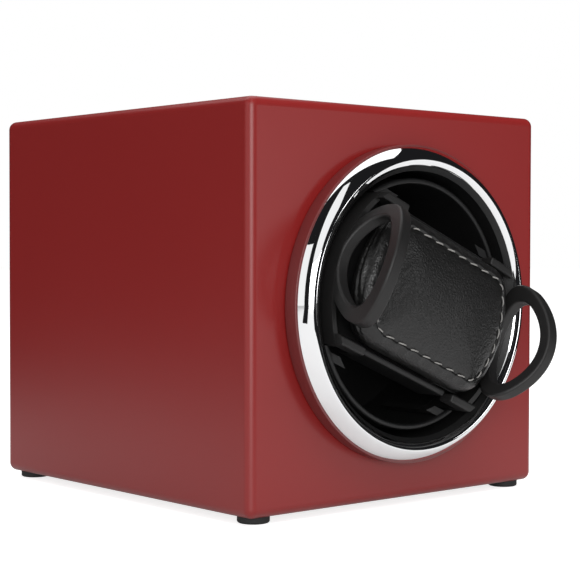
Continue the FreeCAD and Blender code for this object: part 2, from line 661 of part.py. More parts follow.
def grub_seat():
    """Top of the grub screw's hole, on the hub behind the pulley's rim."""
    middle_y = (PULLEY_Y + PULLEY_WIDTH + SHAFT_END_Y) / 2
    return Vector(0, middle_y, AXIS_Z + PULLEY_HUB_RADIUS)


def pulley_grub_screw():
    """Headless screw that locks the pulley to the shaft."""
    length = PULLEY_HUB_RADIUS - SHAFT_RADIUS
    seat = grub_seat()
    screw = hole(seat, UP, GRUB_RADIUS, length)
    half = GRUB_RADIUS
    slot_low = seat - Vector(half, SCREW_SLOT_WIDTH / 2, SCREW_SLOT_DEPTH + GRUB_RADIUS / 2)
    return screw.cut(block(slot_low, seat + Vector(half, SCREW_SLOT_WIDTH / 2, 0)))


def motor_pulley():
    """Small grooved pulley on the motor's shaft."""
    bore = MOTOR_SHAFT_RADIUS + SNUG_FIT
    pulley = sleeve(MOTOR_PULLEY_RADIUS, bore, PULLEY_Y, PULLEY_Y + PULLEY_WIDTH, 0, MOTOR_Z)
    return pulley.cut(Part.makeTorus(MOTOR_PULLEY_RADIUS, GROOVE_RADIUS, Vector(0, BELT_Y, MOTOR_Z), ALONG_Y))


def motor_shaft():
    """Output shaft of the gearbox."""
    return disc(MOTOR_SHAFT_RADIUS, PULLEY_Y, GEARBOX_Y + MOTOR_SHAFT_ENTRY, 0, MOTOR_Z)


def drive_belt():
    """Round rubber belt: an arc round each pulley and two straight runs."""
    slope = math.asin((PULLEY_RADIUS - MOTOR_PULLEY_RADIUS) / CENTRE_DISTANCE)

    def place(radius, z, angle):
        return Vector(radius * math.cos(angle), BELT_Y, z + radius * math.sin(angle))
    right_top = place(PULLEY_RADIUS, AXIS_Z, -slope)
    left_top = place(PULLEY_RADIUS, AXIS_Z, math.pi + slope)
    right_low = place(MOTOR_PULLEY_RADIUS, MOTOR_Z, -slope)
    left_low = place(MOTOR_PULLEY_RADIUS, MOTOR_Z, math.pi + slope)
    top = place(PULLEY_RADIUS, AXIS_Z, math.pi / 2)
    bottom = place(MOTOR_PULLEY_RADIUS, MOTOR_Z, -math.pi / 2)
    path = outline(right_low, [[right_top], [top, left_top], [left_low], [bottom, right_low]])
    section = Part.Wire(Part.makeCircle(BELT_RADIUS, right_low, right_top - right_low))
    return path.makePipeShell([section], True, True)


def bracket_screw_seats():
    """Seats of the two screws that hold the bracket's foot to the case floor."""
    y = GEARBOX_Y - BRACKET_FOOT_LENGTH + BRACKET_FOOT_LENGTH / 3
    z = CASE_FLOOR_Z + BRACKET_THICKNESS
    return [Vector(side * BRACKET_SCREW_SPACING / 2, y, z) for side in (-1, 1)]


def motor_screw_places():
    """(x, z) places of the screws that hold the gearbox to the bracket."""
    return [(side * MOTOR_SCREW_SPACING / 2, MOTOR_Z) for side in (-1, 1)]


def motor_bracket():
    """Folded steel bracket: an upright plate for the gearbox and a foot on the case floor."""
    half = BRACKET_WIDTH / 2
    top = CASE_FLOOR_Z + BRACKET_HEIGHT
    upright = block(Vector(-half, BRACKET_Y, CASE_FLOOR_Z), Vector(half, GEARBOX_Y, top))
    foot_y = GEARBOX_Y - BRACKET_FOOT_LENGTH
    foot_top = CASE_FLOOR_Z + BRACKET_THICKNESS
    foot = block(Vector(-half, foot_y, CASE_FLOOR_Z), Vector(half, GEARBOX_Y, foot_top))
    bracket = upright.fuse(foot).removeSplitter()
    bracket = bracket.cut(disc(GEARBOX_NOSE_RADIUS + SEAT_FIT, BRACKET_Y, GEARBOX_Y, 0, MOTOR_Z))
    for x, z in motor_screw_places():
        bracket = bracket.cut(disc(SCREW_RADIUS + SEAT_FIT, BRACKET_Y, GEARBOX_Y, x, z))
    for seat in bracket_screw_seats():
        bracket = bracket.cut(hole(seat, UP, SCREW_RADIUS + SEAT_FIT, BRACKET_THICKNESS))
    return bracket


def bracket_screws():
    """Screws through the bracket's foot into the case floor."""
    length = BRACKET_THICKNESS + SCREW_BITE
    solids = [pan_screw(seat, UP, SCREW_RADIUS, length, SCREW_HEAD_RADIUS) for seat in bracket_screw_seats()]
    return Part.makeCompound(solids)


def motor_screws():
    """Screws through the bracket into the gearbox."""
    length = BRACKET_THICKNESS + SCREW_BITE
    solids = []
    for x, z in motor_screw_places():
        seat = Vector(x, BRACKET_Y, z)
        solids.append(pan_screw(seat, ALONG_Y * -1, SCREW_RADIUS, length, SCREW_HEAD_RADIUS))
    return Part.makeCompound(solids)


def gearbox():
    """Round reduction gearbox with a nose that passes through the bracket."""
    body = disc(GEARBOX_RADIUS, GEARBOX_Y, MOTOR_Y, 0, MOTOR_Z)
    body = body.fuse(disc(GEARBOX_NOSE_RADIUS, BRACKET_Y, GEARBOX_Y, 0, MOTOR_Z)).removeSplitter()
    bore_end = GEARBOX_Y + MOTOR_SHAFT_ENTRY + MOVING_GAP
    body = body.cut(disc(MOTOR_SHAFT_RADIUS + RUNNING_FIT, BRACKET_Y, bore_end, 0, MOTOR_Z))
    for x, z in motor_screw_places():
        body = body.cut(disc(SCREW_RADIUS + SNUG_FIT, GEARBOX_Y, GEARBOX_Y + SCREW_BITE, x, z))
    return body


def motor_can():
    """Small motor behind the gearbox, with a round tail that carries its terminals."""
    can = disc(MOTOR_RADIUS, MOTOR_Y, MOTOR_TAIL_Y, 0, MOTOR_Z)
    return can.fuse(disc(MOTOR_TAIL_RADIUS, MOTOR_TAIL_Y, MOTOR_TAIL_Y + MOTOR_TAIL_LENGTH, 0, MOTOR_Z))


def holder_frame():
    """Plastic base of the holder: a bar with bowed ends, a rail along each side and a snap socket behind each end."""
    front_y = FRONT_Y - FRAME_REACH
    bar = block(Vector(-FRAME_END_RADIUS, front_y, AXIS_Z - FRAME_HALF_WIDTH),
                Vector(FRAME_END_RADIUS, FRAME_REAR_Y, AXIS_Z + FRAME_HALF_WIDTH))
    bar = bar.common(disc(FRAME_END_RADIUS, front_y, FRAME_REAR_Y))
    middle = block(Vector(-RAIL_HALF_LENGTH, front_y, AXIS_Z - RAIL_HALF_WIDTH),
                   Vector(RAIL_HALF_LENGTH, FRAME_REAR_Y, AXIS_Z + RAIL_HALF_WIDTH))
    frame = bar.fuse([middle, both_ends(side_rail()), both_ends(knuckle_socket())]).removeSplitter()
    for x in pad_screw_places():
        frame = frame.cut(disc(SCREW_RADIUS + SEAT_FIT, front_y, FRAME_REAR_Y, x))
    return held(frame)


def side_rail():
    """Rail with a rounded top that stands up beside the cushion, along the upper side of the level holder."""
    top_y = FRONT_Y - RAIL_REACH
    rail = block(Vector(-RAIL_HALF_LENGTH, top_y, AXIS_Z + RAIL_INNER),
                 Vector(RAIL_HALF_LENGTH, FRAME_REAR_Y, AXIS_Z + RAIL_HALF_WIDTH))
    along = [edge for edge in rail.Edges if runs_along(edge)]
    return rail.makeFillet(RAIL_EDGE_RADIUS, [edge for edge in along if edge.CenterOfMass.y < top_y + RAIL_EDGE_RADIUS])


def runs_along(edge):
    """True for a straight edge along the level holder."""
    return isinstance(edge.Curve, Part.Line) and abs(edge.Curve.Direction.x) > 1 - 1e-6


def knuckle_socket():
    """Block behind one end of the frame with a round groove that a loop's knuckle snaps into."""
    half_depth = SOCKET_RADIUS + SOCKET_WALL
    centre_y = FRONT_Y + KNUCKLE_DEPTH
    lip_x = KNUCKLE_FROM_AXIS + SOCKET_LIP
    half = KNUCKLE_HALF_LENGTH
    body = block(Vector(lip_x - SOCKET_LENGTH, FRAME_REAR_Y, AXIS_Z - half),
                 Vector(lip_x, centre_y + half_depth, AXIS_Z + half))
    groove = Part.makeCylinder(SOCKET_RADIUS, 2 * half, Vector(KNUCKLE_FROM_AXIS, centre_y, AXIS_Z - half), UP)
    return body.cut(groove)


def finger_ring():
    """Oval ring with rounded edges, bent to the drum's curve like the end plate that it stands on."""
    outer = PLATE_RADIUS - LOOP_SET_IN
    half_reach = (LOOP_REACH - LOOP_REAR_REACH) / 2
    centre = LOOP_REAR_REACH + half_reach
    hole_half_reach = half_reach - (LOOP_BAND_FRONT + LOOP_BAND_REAR) / 2
    hole_centre = centre + (LOOP_BAND_REAR - LOOP_BAND_FRONT) / 2
    hole_height = LOOP_HALF_HEIGHT - LOOP_BAND_SIDE
    across = Vector(PLATE_RADIUS, 0, 0)
    solid = oval(0, LOOP_HALF_HEIGHT, half_reach, LOOP_BOW_RADIUS, centre).extrude(across)
    hole_bow = LOOP_BOW_RADIUS - LOOP_BAND_SIDE
    opening = oval(0, hole_height, hole_half_reach, hole_bow, hole_centre).extrude(across)
    ring = solid.cut(opening).common(sleeve(outer, outer - LOOP_THICKNESS, FRONT_Y - LOOP_REACH, FRONT_Y))
    rims = [edge for edge in ring.Edges if not isinstance(edge.Curve, Part.Line)]
    return ring.makeFillet(LOOP_EDGE_RADIUS, rims)


def finger_loop():
    """One end of the holder: a finger ring on a bowed and hooked end plate, with the knuckle it flexes about."""
    ring = finger_ring()
    plate = sleeve(PLATE_RADIUS, PLATE_INNER_RADIUS, FRONT_Y - PLATE_REACH, FRONT_Y + PLATE_DEPTH)
    plate = plate.common(block(Vector(0, FRONT_Y - PLATE_REACH, AXIS_Z - PLATE_HALF_WIDTH),
                               Vector(PLATE_RADIUS, FRONT_Y + PLATE_DEPTH, AXIS_Z + PLATE_HALF_WIDTH)))
    centre_y = FRONT_Y + KNUCKLE_DEPTH
    half = KNUCKLE_HALF_LENGTH
    foot = Vector(KNUCKLE_FROM_AXIS, centre_y, AXIS_Z - half)
    knuckle = Part.makeCylinder(KNUCKLE_RADIUS, 2 * half, foot, UP)
    web = block(Vector(KNUCKLE_FROM_AXIS, centre_y - KNUCKLE_WEB / 2, AXIS_Z - half),
                Vector(PLATE_RADIUS - PLATE_THICKNESS / 2, centre_y + KNUCKLE_WEB / 2, AXIS_Z + half))
    web = web.common(disc(PLATE_RADIUS - PLATE_THICKNESS / 2, centre_y - KNUCKLE_WEB, centre_y + KNUCKLE_WEB))
    return ring.fuse([plate, plate_hooks(), knuckle, web]).removeSplitter()


def plate_hooks():
    """Lugs at the two sides of an end plate, turned in beside the frame's end."""
    front_y = FRONT_Y - HOOK_REACH
    upper = block(Vector(HOOK_START_X, front_y, AXIS_Z + HOOK_INNER),
                  Vector(PLATE_RADIUS, front_y + HOOK_HEIGHT, AXIS_Z + PLATE_HALF_WIDTH))
    upper = upper.makeFillet(min(HOOK_EDGE_RADIUS, HOOK_WIDTH / 3), upper.Edges)
    lower = upper.mirror(DRUM_AXIS, UP)
    inside = disc(PLATE_RADIUS - LOOP_SET_IN, front_y, front_y + HOOK_HEIGHT)
    return upper.fuse(lower).common(inside)


def pad_screw_places():
    """Places along the holder of the screws that hold the pad's core to the frame."""
    return (-PAD_SCREW_SPACING / 2, PAD_SCREW_SPACING / 2)


def pad_core():
    """Stiff block between the frame and the cushion, narrower than both."""
    front_y = FRONT_Y - CORE_REACH
    face = Part.Face(pad_outline(CORE_REACH, -CORE_SET_IN))
    core = face.extrude(ALONG_Y * CORE_HEIGHT)
    for x in pad_screw_places():
        core = core.cut(disc(SCREW_RADIUS + SNUG_FIT, front_y, front_y + CORE_HEIGHT, x))
    return held(core)


def watch_cushion():
    """Padded leather cushion: a crowned top sewn to swelling sides that draw in at the base."""
    middle_reach = (CORE_REACH + PAD_SEAM_REACH) / 2
    sides = [pad_outline(CORE_REACH, PAD_BASE_SPREAD), pad_outline(middle_reach, PAD_SIDE_BULGE),
             pad_outline(PAD_SEAM_REACH, 0)]
    body = Part.makeLoft(sides, True, False)
    crown = [pad_outline(PAD_SEAM_REACH, 0),
             pad_outline(PAD_SEAM_REACH + PAD_CROWN * 0.6, -PAD_CROWN_SLOPE / 2),
             pad_outline(PAD_SEAM_REACH + PAD_CROWN, -PAD_CROWN_SLOPE)]
    return held(body.fuse(Part.makeLoft(crown, True, False)))


def pad_screws():
    """Screws through the frame into the pad's core, from behind."""
    length = FRAME_THICKNESS + CORE_HEIGHT
    solids = []
    for x in pad_screw_places():
        seat = Vector(x, FRAME_REAR_Y, AXIS_Z)
        solids.append(pan_screw(seat, ALONG_Y, SCREW_RADIUS, length, SCREW_HEAD_RADIUS))
    return held(Part.makeCompound(solids))


def panel_screw_seats():
    """Seats of the four screws in the rear panel's corners."""
    seats = []
    for x in (-PANEL_SCREW_X, PANEL_SCREW_X):
        for rise in (-PANEL_SCREW_Z, PANEL_SCREW_Z):
            seats.append(Vector(x, REAR_Y, AXIS_Z + rise))
    return seats


def corner_blocks():
    """Wooden blocks glued into the case's rear corners, which carry the rear panel."""
    half = CORNER_BLOCK_SIZE / 2
    solids = []
    for seat in panel_screw_seats():
        low = Vector(seat.x - half, BLOCK_FRONT_Y, seat.z - half)
        solid = block(low, Vector(seat.x + half, PANEL_FRONT_Y, seat.z + half))
        pilot = Vector(seat.x, PANEL_FRONT_Y, seat.z)
        solids.append(solid.cut(hole(pilot, ALONG_Y, SCREW_RADIUS + SNUG_FIT, SCREW_BITE)))
    return Part.makeCompound(solids)


def control_places():
    """(name, x) of the two turning controls on the rear panel."""
    return (("mode", -KNOB_SPACING / 2), ("direction", KNOB_SPACING / 2))


def rear_panel():
    """Flat panel let into the case's rear, with holes for the controls, the jack and its screws."""
    low = Vector(-INNER_HALF_WIDTH + SEAT_FIT, PANEL_FRONT_Y, AXIS_Z - INNER_HALF_HEIGHT + SEAT_FIT)
    high = Vector(INNER_HALF_WIDTH - SEAT_FIT, REAR_Y, AXIS_Z + INNER_HALF_HEIGHT - SEAT_FIT)
    panel = block(low, high)
    for seat in panel_screw_seats():
        panel = panel.cut(hole(seat, ALONG_Y, SCREW_RADIUS + SEAT_FIT, PANEL_THICKNESS))
    for _, x in control_places():
        panel = panel.cut(disc(CONTROL_BUSH_RADIUS + SEAT_FIT, PANEL_FRONT_Y, REAR_Y, x, KNOB_Z))
    return panel.cut(disc(JACK_BARREL_RADIUS + SEAT_FIT, PANEL_FRONT_Y, REAR_Y, JACK_X, JACK_Z))


def rear_panel_screws():
    """Screws through the rear panel into the corner blocks."""
    length = PANEL_THICKNESS + SCREW_BITE
    solids = [pan_screw(seat, ALONG_Y, SCREW_RADIUS, length, SCREW_HEAD_RADIUS) for seat in panel_screw_seats()]
    return Part.makeCompound(solids)


def control_body(x):
    """Rotary switch behind the panel, with a round bush that passes through it."""
    half = CONTROL_BODY_SIZE / 2
    low = Vector(x - half, CONTROL_FRONT_Y, KNOB_Z - half)
    body = block(low, Vector(x + half, PANEL_FRONT_Y, KNOB_Z + half))
    bush_end = REAR_Y + CONTROL_NUT_HEIGHT
    body = body.fuse(disc(CONTROL_BUSH_RADIUS, PANEL_FRONT_Y, bush_end, x, KNOB_Z)).removeSplitter()
    return body.cut(disc(CONTROL_SHAFT_RADIUS + RUNNING_FIT, PANEL_FRONT_Y, bush_end, x, KNOB_Z))


def control_nut(x):
    """Hexagonal nut that clamps a rotary switch to the panel."""
    corners = []
    for index in range(6):
        angle = math.radians(60 * index)
        across = CONTROL_NUT_RADIUS * math.cos(angle)
        corners.append(Vector(x + across, REAR_Y, KNOB_Z + CONTROL_NUT_RADIUS * math.sin(angle)))
    face = Part.Face(Part.makePolygon(corners + corners[:1]))
    nut = face.extrude(ALONG_Y * CONTROL_NUT_HEIGHT)
    return nut.cut(disc(CONTROL_BUSH_RADIUS + SNUG_FIT, REAR_Y, REAR_Y + CONTROL_NUT_HEIGHT, x, KNOB_Z))


def control_shaft_end():
    """Y of the outer end of a control's shaft, inside its knob."""
    return REAR_Y + (KNOB_STAND_OFF + KNOB_REACH) / 2


def control_shaft(x):
    """Turning shaft of a rotary switch."""
    return disc(CONTROL_SHAFT_RADIUS, PANEL_FRONT_Y + MOVING_GAP, control_shaft_end(), x, KNOB_Z)


def control_knob(x):
    """Round knob with grip flutes and a pointer groove."""
    near_y = REAR_Y + KNOB_STAND_OFF
    far_y = REAR_Y + KNOB_REACH
    knob = disc(KNOB_RADIUS, near_y, far_y, x, KNOB_Z)
    knob = knob.makeFillet(KNOB_EDGE_RADIUS, [edge for edge in knob.Edges if is_knob_rim(edge, far_y)])
    for index in range(KNOB_GRIP_COUNT):
        angle = 2 * math.pi * (index + 0.5) / KNOB_GRIP_COUNT
        flute_x = x + KNOB_RADIUS * math.cos(angle)
        flute_z = KNOB_Z + KNOB_RADIUS * math.sin(angle)
        knob = knob.cut(disc(KNOB_GRIP_RADIUS, near_y, far_y - KNOB_EDGE_RADIUS * 2, flute_x, flute_z))
    half = KNOB_MARK_WIDTH / 2
    mark = block(Vector(x - half, far_y - KNOB_MARK_DEPTH, KNOB_Z + KNOB_RADIUS * 0.2),
                 Vector(x + half, far_y, KNOB_Z + KNOB_RADIUS))
    return knob.cut(mark).cut(disc(CONTROL_SHAFT_RADIUS + SNUG_FIT, near_y, control_shaft_end(), x, KNOB_Z))


def is_knob_rim(edge, far_y):
    """True for the round edge at a knob's outer face."""
    return edge.Closed and abs(edge.CenterOfMass.y - far_y) < 1e-6


def dc_jack():
    """Barrel power inlet: a body behind the panel, a barrel through it, a flange outside and a centre pin."""
    half = JACK_BODY_WIDTH / 2
    rise = JACK_BODY_HEIGHT / 2
    outer_y = REAR_Y + JACK_FLANGE_HEIGHT
    low = Vector(JACK_X - half, JACK_FRONT_Y, JACK_Z - rise)
    jack = block(low, Vector(JACK_X + half, PANEL_FRONT_Y, JACK_Z + rise))
    jack = jack.fuse(disc(JACK_BARREL_RADIUS, PANEL_FRONT_Y, outer_y, JACK_X, JACK_Z))
    jack = jack.fuse(disc(JACK_FLANGE_RADIUS, REAR_Y, outer_y, JACK_X, JACK_Z)).removeSplitter()
    socket_y = JACK_FRONT_Y + JACK_BODY_DEPTH / 2
    jack = jack.cut(disc(JACK_BORE_RADIUS, socket_y, outer_y, JACK_X, JACK_Z))
    return jack.fuse(disc(JACK_PIN_RADIUS, socket_y, REAR_Y, JACK_X, JACK_Z))


def board_corner_places():
    """(x, y) of the board's four fixing holes."""
    places = []
    for x in (BOARD_X + BOARD_SCREW_INSET, BOARD_X + BOARD_WIDTH - BOARD_SCREW_INSET):
        for y in (BOARD_Y + BOARD_SCREW_INSET, BOARD_REAR_Y - TERMINAL_DEPTH - BOARD_SCREW_INSET):
            places.append((x, y))
    return places


def control_board():
    """Circuit board on standoffs above the case floor."""
    board = block(Vector(BOARD_X, BOARD_Y, BOARD_Z), Vector(BOARD_X + BOARD_WIDTH, BOARD_REAR_Y, BOARD_TOP_Z))
    for x, y in board_corner_places():
        board = board.cut(hole(Vector(x, y, BOARD_TOP_Z), UP, BOARD_SCREW_RADIUS + SEAT_FIT, BOARD_THICKNESS))
    return board


def board_standoffs():
    """Posts between the case floor and the board."""
    solids = []
    for x, y in board_corner_places():
        post = Part.makeCylinder(STANDOFF_RADIUS, STANDOFF_HEIGHT, Vector(x, y, CASE_FLOOR_Z), UP)
        pilot = hole(Vector(x, y, BOARD_Z), UP, BOARD_SCREW_RADIUS + SNUG_FIT, BOARD_SCREW_BITE)
        solids.append(post.cut(pilot))
    return Part.makeCompound(solids)


def board_screws():
    """Small screws through the board into the posts."""
    length = BOARD_THICKNESS + BOARD_SCREW_BITE
    solids = []
    for x, y in board_corner_places():
        seat = Vector(x, y, BOARD_TOP_Z)
        solids.append(pan_screw(seat, UP, BOARD_SCREW_RADIUS, length, BOARD_SCREW_HEAD_RADIUS))
    return Part.makeCompound(solids)


def board_middle():
    """Centre of the board's free area, ahead of the terminal block."""
    return Vector(BOARD_X + BOARD_WIDTH / 2, (BOARD_Y + BOARD_REAR_Y - TERMINAL_DEPTH) / 2, BOARD_TOP_Z)


def timer_chip():
    """Flat chip that times the turns."""
    middle = board_middle()
    low = middle - Vector(CHIP_WIDTH + CAPACITOR_RADIUS, CHIP_LENGTH / 2, 0)
    return block(low, low + Vector(CHIP_WIDTH, CHIP_LENGTH, CHIP_HEIGHT))


def board_capacitor():
    """Upright round capacitor beside the chip."""
    base = board_middle() + Vector(CAPACITOR_RADIUS * 1.5, 0, 0)
    return Part.makeCylinder(CAPACITOR_RADIUS, CAPACITOR_HEIGHT, base, UP)


def terminal_block():
    """Wire terminals along the board's rear edge."""
    low = Vector(TERMINAL_X, BOARD_REAR_Y - TERMINAL_DEPTH, BOARD_TOP_Z)
    return block(low, low + Vector(TERMINAL_LENGTH, TERMINAL_DEPTH, TERMINAL_HEIGHT))


def motor_leads():
    """Two wires from the motor's tail round to the terminal block."""
    start_x = -MOTOR_TAIL_RADIUS / 2
    start_y = MOTOR_TAIL_Y + MOTOR_TAIL_LENGTH
    turn_y = max(start_y, BOARD_REAR_Y) + WIRE_LOOP_OUT
    end_x = TERMINAL_X + TERMINAL_LENGTH - WIRE_PITCH
    solids = []
    for offset in (-WIRE_PITCH / 2, WIRE_PITCH / 2):
        z = MOTOR_Z + offset
        points = [(start_x, start_y), (start_x, turn_y), (end_x, turn_y), (end_x, BOARD_REAR_Y)]
        solids.append(wire_run([Vector(x, y, z) for x, y in points]))
    return Part.makeCompound(solids)


def jack_leads():
    """Two short wires from the jack to the terminal block."""
    solids = []
    for offset in (-WIRE_PITCH / 2, WIRE_PITCH / 2):
        solids.append(disc(WIRE_RADIUS, BOARD_REAR_Y, JACK_FRONT_Y, JACK_X + offset, JACK_Z))
    return Part.makeCompound(solids)


def mode_leads():
    """Two wires from the mode switch down to the terminal block."""
    x_middle = -KNOB_SPACING / 2
    top_z = KNOB_Z - CONTROL_BODY_SIZE / 2
    low_z = BOARD_TOP_Z + WIRE_PITCH
    y = (CONTROL_FRONT_Y + PANEL_FRONT_Y) / 2
    solids = []
    for offset in (0, WIRE_PITCH):
        x = x_middle + offset
        points = [Vector(x, y, top_z), Vector(x, y, low_z), Vector(x, BOARD_REAR_Y, low_z)]
        solids.append(wire_run(points))
    return Part.makeCompound(solids)


def link_leads():
    """Two straight wires between the two rotary switches."""
    length = KNOB_SPACING - CONTROL_BODY_SIZE
    y = (CONTROL_FRONT_Y + PANEL_FRONT_Y) / 2
    solids = []
    for offset in (-WIRE_PITCH / 2, WIRE_PITCH / 2):
        start = Vector(-length / 2, y, KNOB_Z + offset)
        solids.append(Part.makeCylinder(WIRE_RADIUS, length, start, Vector(1, 0, 0)))
    return Part.makeCompound(solids)


def all_parts():
    """Every piece by its name."""
    loop = finger_loop()
    parts = {
        "case_shell": case_shell(),
        "front_collar": front_collar(),
        "chrome_bezel": chrome_bezel(),
        "drum_housing": drum_housing(),
        "housing_screws": housing_screws(),
        "corner_blocks": corner_blocks(),
        "rear_panel": rear_panel(),
        "rear_panel_screws": rear_panel_screws(),
        "drum": drum(),
        "drum_shaft": drum_shaft(),
        "hub_screw": hub_screw(),
        "front_bush": front_bush(),
        "rear_bush": rear_bush(),
        "thrust_washer": thrust_washer(),
        "shaft_clip": shaft_clip(),
        "driven_pulley": driven_pulley(),
        "pulley_grub_screw": pulley_grub_screw(),
        "drive_belt": drive_belt(),
        "motor_pulley": motor_pulley(),
        "motor_shaft": motor_shaft(),
        "gearbox": gearbox(),
        "motor_can": motor_can(),
        "motor_bracket": motor_bracket(),
        "motor_screws": motor_screws(),
        "bracket_screws": bracket_screws(),
        "holder_frame": holder_frame(),
        "pad_core": pad_core(),
        "pad_screws": pad_screws(),
        "watch_cushion": watch_cushion(),
        "finger_loop_right": held(loop),
        "finger_loop_left": held(half_turned(loop)),
        "dc_jack": dc_jack(),
        "control_board": control_board(),
        "board_standoffs": board_standoffs(),
        "board_screws": board_screws(),
        "timer_chip": timer_chip(),
        "board_capacitor": board_capacitor(),
        "terminal_block": terminal_block(),
        "motor_leads": motor_leads(),
        "jack_leads": jack_leads(),
        "mode_leads": mode_leads(),
        "link_leads": link_leads(),
    }
    parts.update(feet())
    for name, x in control_places():
        parts["%s_switch" % name] = control_body(x)
        parts["%s_nut" % name] = control_nut(x)
        parts["%s_shaft" % name] = control_shaft(x)
        parts["%s_knob" % name] = control_knob(x)
    return parts


os.makedirs("parts", exist_ok=True)
for part_name, part_shape in all_parts().items():
    part_shape.exportStep("parts/%s.step" % part_name)
    volume = round(part_shape.Volume, 1)
    print(part_name, "solids", len(part_shape.Solids), "valid", part_shape.isValid(), "mm3", volume)
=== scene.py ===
"""Dressed scene of a single watch winder box.

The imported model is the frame. Its solids keep their places and get their finishes here, and the pieces
whose form is finer than a solid's are built over them: the sewn cushion, its thread, the lacquered ring
and the bright rim.
Sizes of the object's classes are millimetres. Finishes, meshes and the studio are in the frame's metres.
"""

import logging
import math
from collections.abc import Sequence
from dataclasses import dataclass, field, replace
from enum import Enum
from functools import cache

import bmesh
import bpy
import numpy as np
from mathutils import Matrix, Vector, noise


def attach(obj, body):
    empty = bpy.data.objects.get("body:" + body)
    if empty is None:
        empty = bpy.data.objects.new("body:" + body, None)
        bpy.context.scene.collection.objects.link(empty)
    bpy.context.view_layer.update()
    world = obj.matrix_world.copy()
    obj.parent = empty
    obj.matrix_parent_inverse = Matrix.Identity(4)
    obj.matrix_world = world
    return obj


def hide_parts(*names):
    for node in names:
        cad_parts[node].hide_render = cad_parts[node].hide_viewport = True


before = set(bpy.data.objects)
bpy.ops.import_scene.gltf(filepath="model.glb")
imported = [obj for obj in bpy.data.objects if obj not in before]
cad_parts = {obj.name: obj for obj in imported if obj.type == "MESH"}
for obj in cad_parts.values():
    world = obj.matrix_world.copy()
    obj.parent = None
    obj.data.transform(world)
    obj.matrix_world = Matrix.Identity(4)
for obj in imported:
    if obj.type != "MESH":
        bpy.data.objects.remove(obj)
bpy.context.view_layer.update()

LOG = logging.getLogger("watch_winder")
MM = 0.001
FRONT_Y = -55.2
AXIS_Z = 61.0
MERGE_DISTANCE = 1e-7
SLIVER_LENGTH = 1e-8
TINY = 1e-9
CLOUD_RANGE = (0.32, 0.68)
WHITE = (1.0, 1.0, 1.0)
LEATHER_CLOTH = {
    "quality": 7,
    "mass": 0.4,
    "tension_stiffness": 25,
    "compression_stiffness": 25,
    "bending_stiffness": 0.6,
    "shrink_min": -0.02,
    "use_pressure": True,
    "uniform_pressure_force": 3.0,
}
# Colour sockets of a mix node, whose names repeat.
MIX_FIRST, MIX_SECOND, MIX_RESULT = 6, 7, 2

Tone = tuple[float, float, float]
Point = tuple[float, float, float]
Pair = tuple[float, float]
Profile = list[Pair]
Socket = bpy.types.NodeSocket
Inputs = dict[str | int, object]


class Slot(Enum):
    """Material slots of the record."""

    RED_LACQUER = "red_lacquer"
    CHROME = "chrome"
    BLACK_PLASTIC = "black_plastic"
    BLACK_LEATHER = "black_leather"
    BLACK_RUBBER = "black_rubber"
    BRONZE = "bronze"
    PALE_PLASTIC = "pale_plastic"
    STEEL = "steel"
    BARE_WOOD = "bare_wood"
    BOARD_GREEN = "board_green"
    TERMINAL_GREEN = "terminal_green"
    RED_WIRE = "red_wire"


class Body(Enum):
    """Bodies that a built piece can ride on."""

    CASE = "case"
    HOLDER = "holder"


class Kind(Enum):
    """Kinds of socket on a shared effect."""

    COLOUR = "NodeSocketColor"
    VALUE = "NodeSocketFloat"


class Sheet:
    """A node tree with the few moves that draw on it."""

    def __init__(self, tree: bpy.types.NodeTree) -> None:
        """Keep the tree and empty it."""
        self.tree = tree
        tree.nodes.clear()

    def add(self, kind: str, values: Inputs | None = None, **settings: object) -> bpy.types.Node:
        """Add a node.

        Args:
            kind: Blender's name for the node type.
            values: what its input sockets hold or take, by socket name or number.
            settings: properties of the node itself.

        Returns:
            The new node.
        """
        node = self.tree.nodes.new(kind)
        for name, value in settings.items():
            setattr(node, name, value)
        for name, value in (values or {}).items():
            self.feed(node.inputs[name], value)
        return node

    def feed(self, target: Socket, value: object) -> None:
        """Link a socket to another, or set what it holds.

        Args:
            target: the input socket.
            value: an output socket, a number or a colour.
        """
        if isinstance(value, bpy.types.NodeSocket):
            self.tree.links.new(value, target)
        elif isinstance(value, tuple) and len(value) == 3 and target.type == "RGBA":
            target.default_value = (*value, 1.0)
        else:
            target.default_value = value

    def math(self, operation: str, first: object, second: object = 0.0) -> Socket:
        """Output of a math node on two numbers or sockets."""
        return self.add("ShaderNodeMath", {0: first, 1: second}, operation=operation).outputs[0]

    def blend(self, share: object, first: object, second: object) -> Socket:
        """Socket of a colour from the first at a share of 0 to the second at a share of 1."""
        values = {"Factor": share, MIX_FIRST: first, MIX_SECOND: second}
        return self.add("ShaderNodeMix", values, data_type="RGBA").outputs[MIX_RESULT]

    def place(self, stretch: Point = (1.0, 1.0, 1.0)) -> Socket:
        """Points of the piece in its own space, stretched along each axis."""
        here = self.add("ShaderNodeTexCoord").outputs["Object"]
        return self.add("ShaderNodeMapping", {"Vector": here, "Scale": stretch}).outputs[0]

    def cloud(self, points: Socket, scale: object, detail: float = 3.0, roughness: float = 0.55) -> Socket:
        """Value of a noise texture.

        Args:
            points: where it is read.
            scale: its patches per metre.
            detail: its octaves.
            roughness: how strong the finer octaves are.

        Returns:
            The socket of the value, about 0.3 to 0.7.
        """
        values = {"Vector": points, "Scale": scale, "Detail": detail, "Roughness": roughness}
        return self.add("ShaderNodeTexNoise", values).outputs[0]

    def ramp(self, value: Socket, low: float, high: float) -> Socket:
        """Value spread from the range low to high onto 0 to 1."""
        values = {"Value": value, "From Min": low, "From Max": high}
        return self.add("ShaderNodeMapRange", values).outputs[0]

    def effect(self, group: bpy.types.NodeTree, values: Inputs) -> Socket:
        """Output of a shared effect whose inputs hold the given values."""
        return self.add("ShaderNodeGroup", values, node_tree=group).outputs[0]


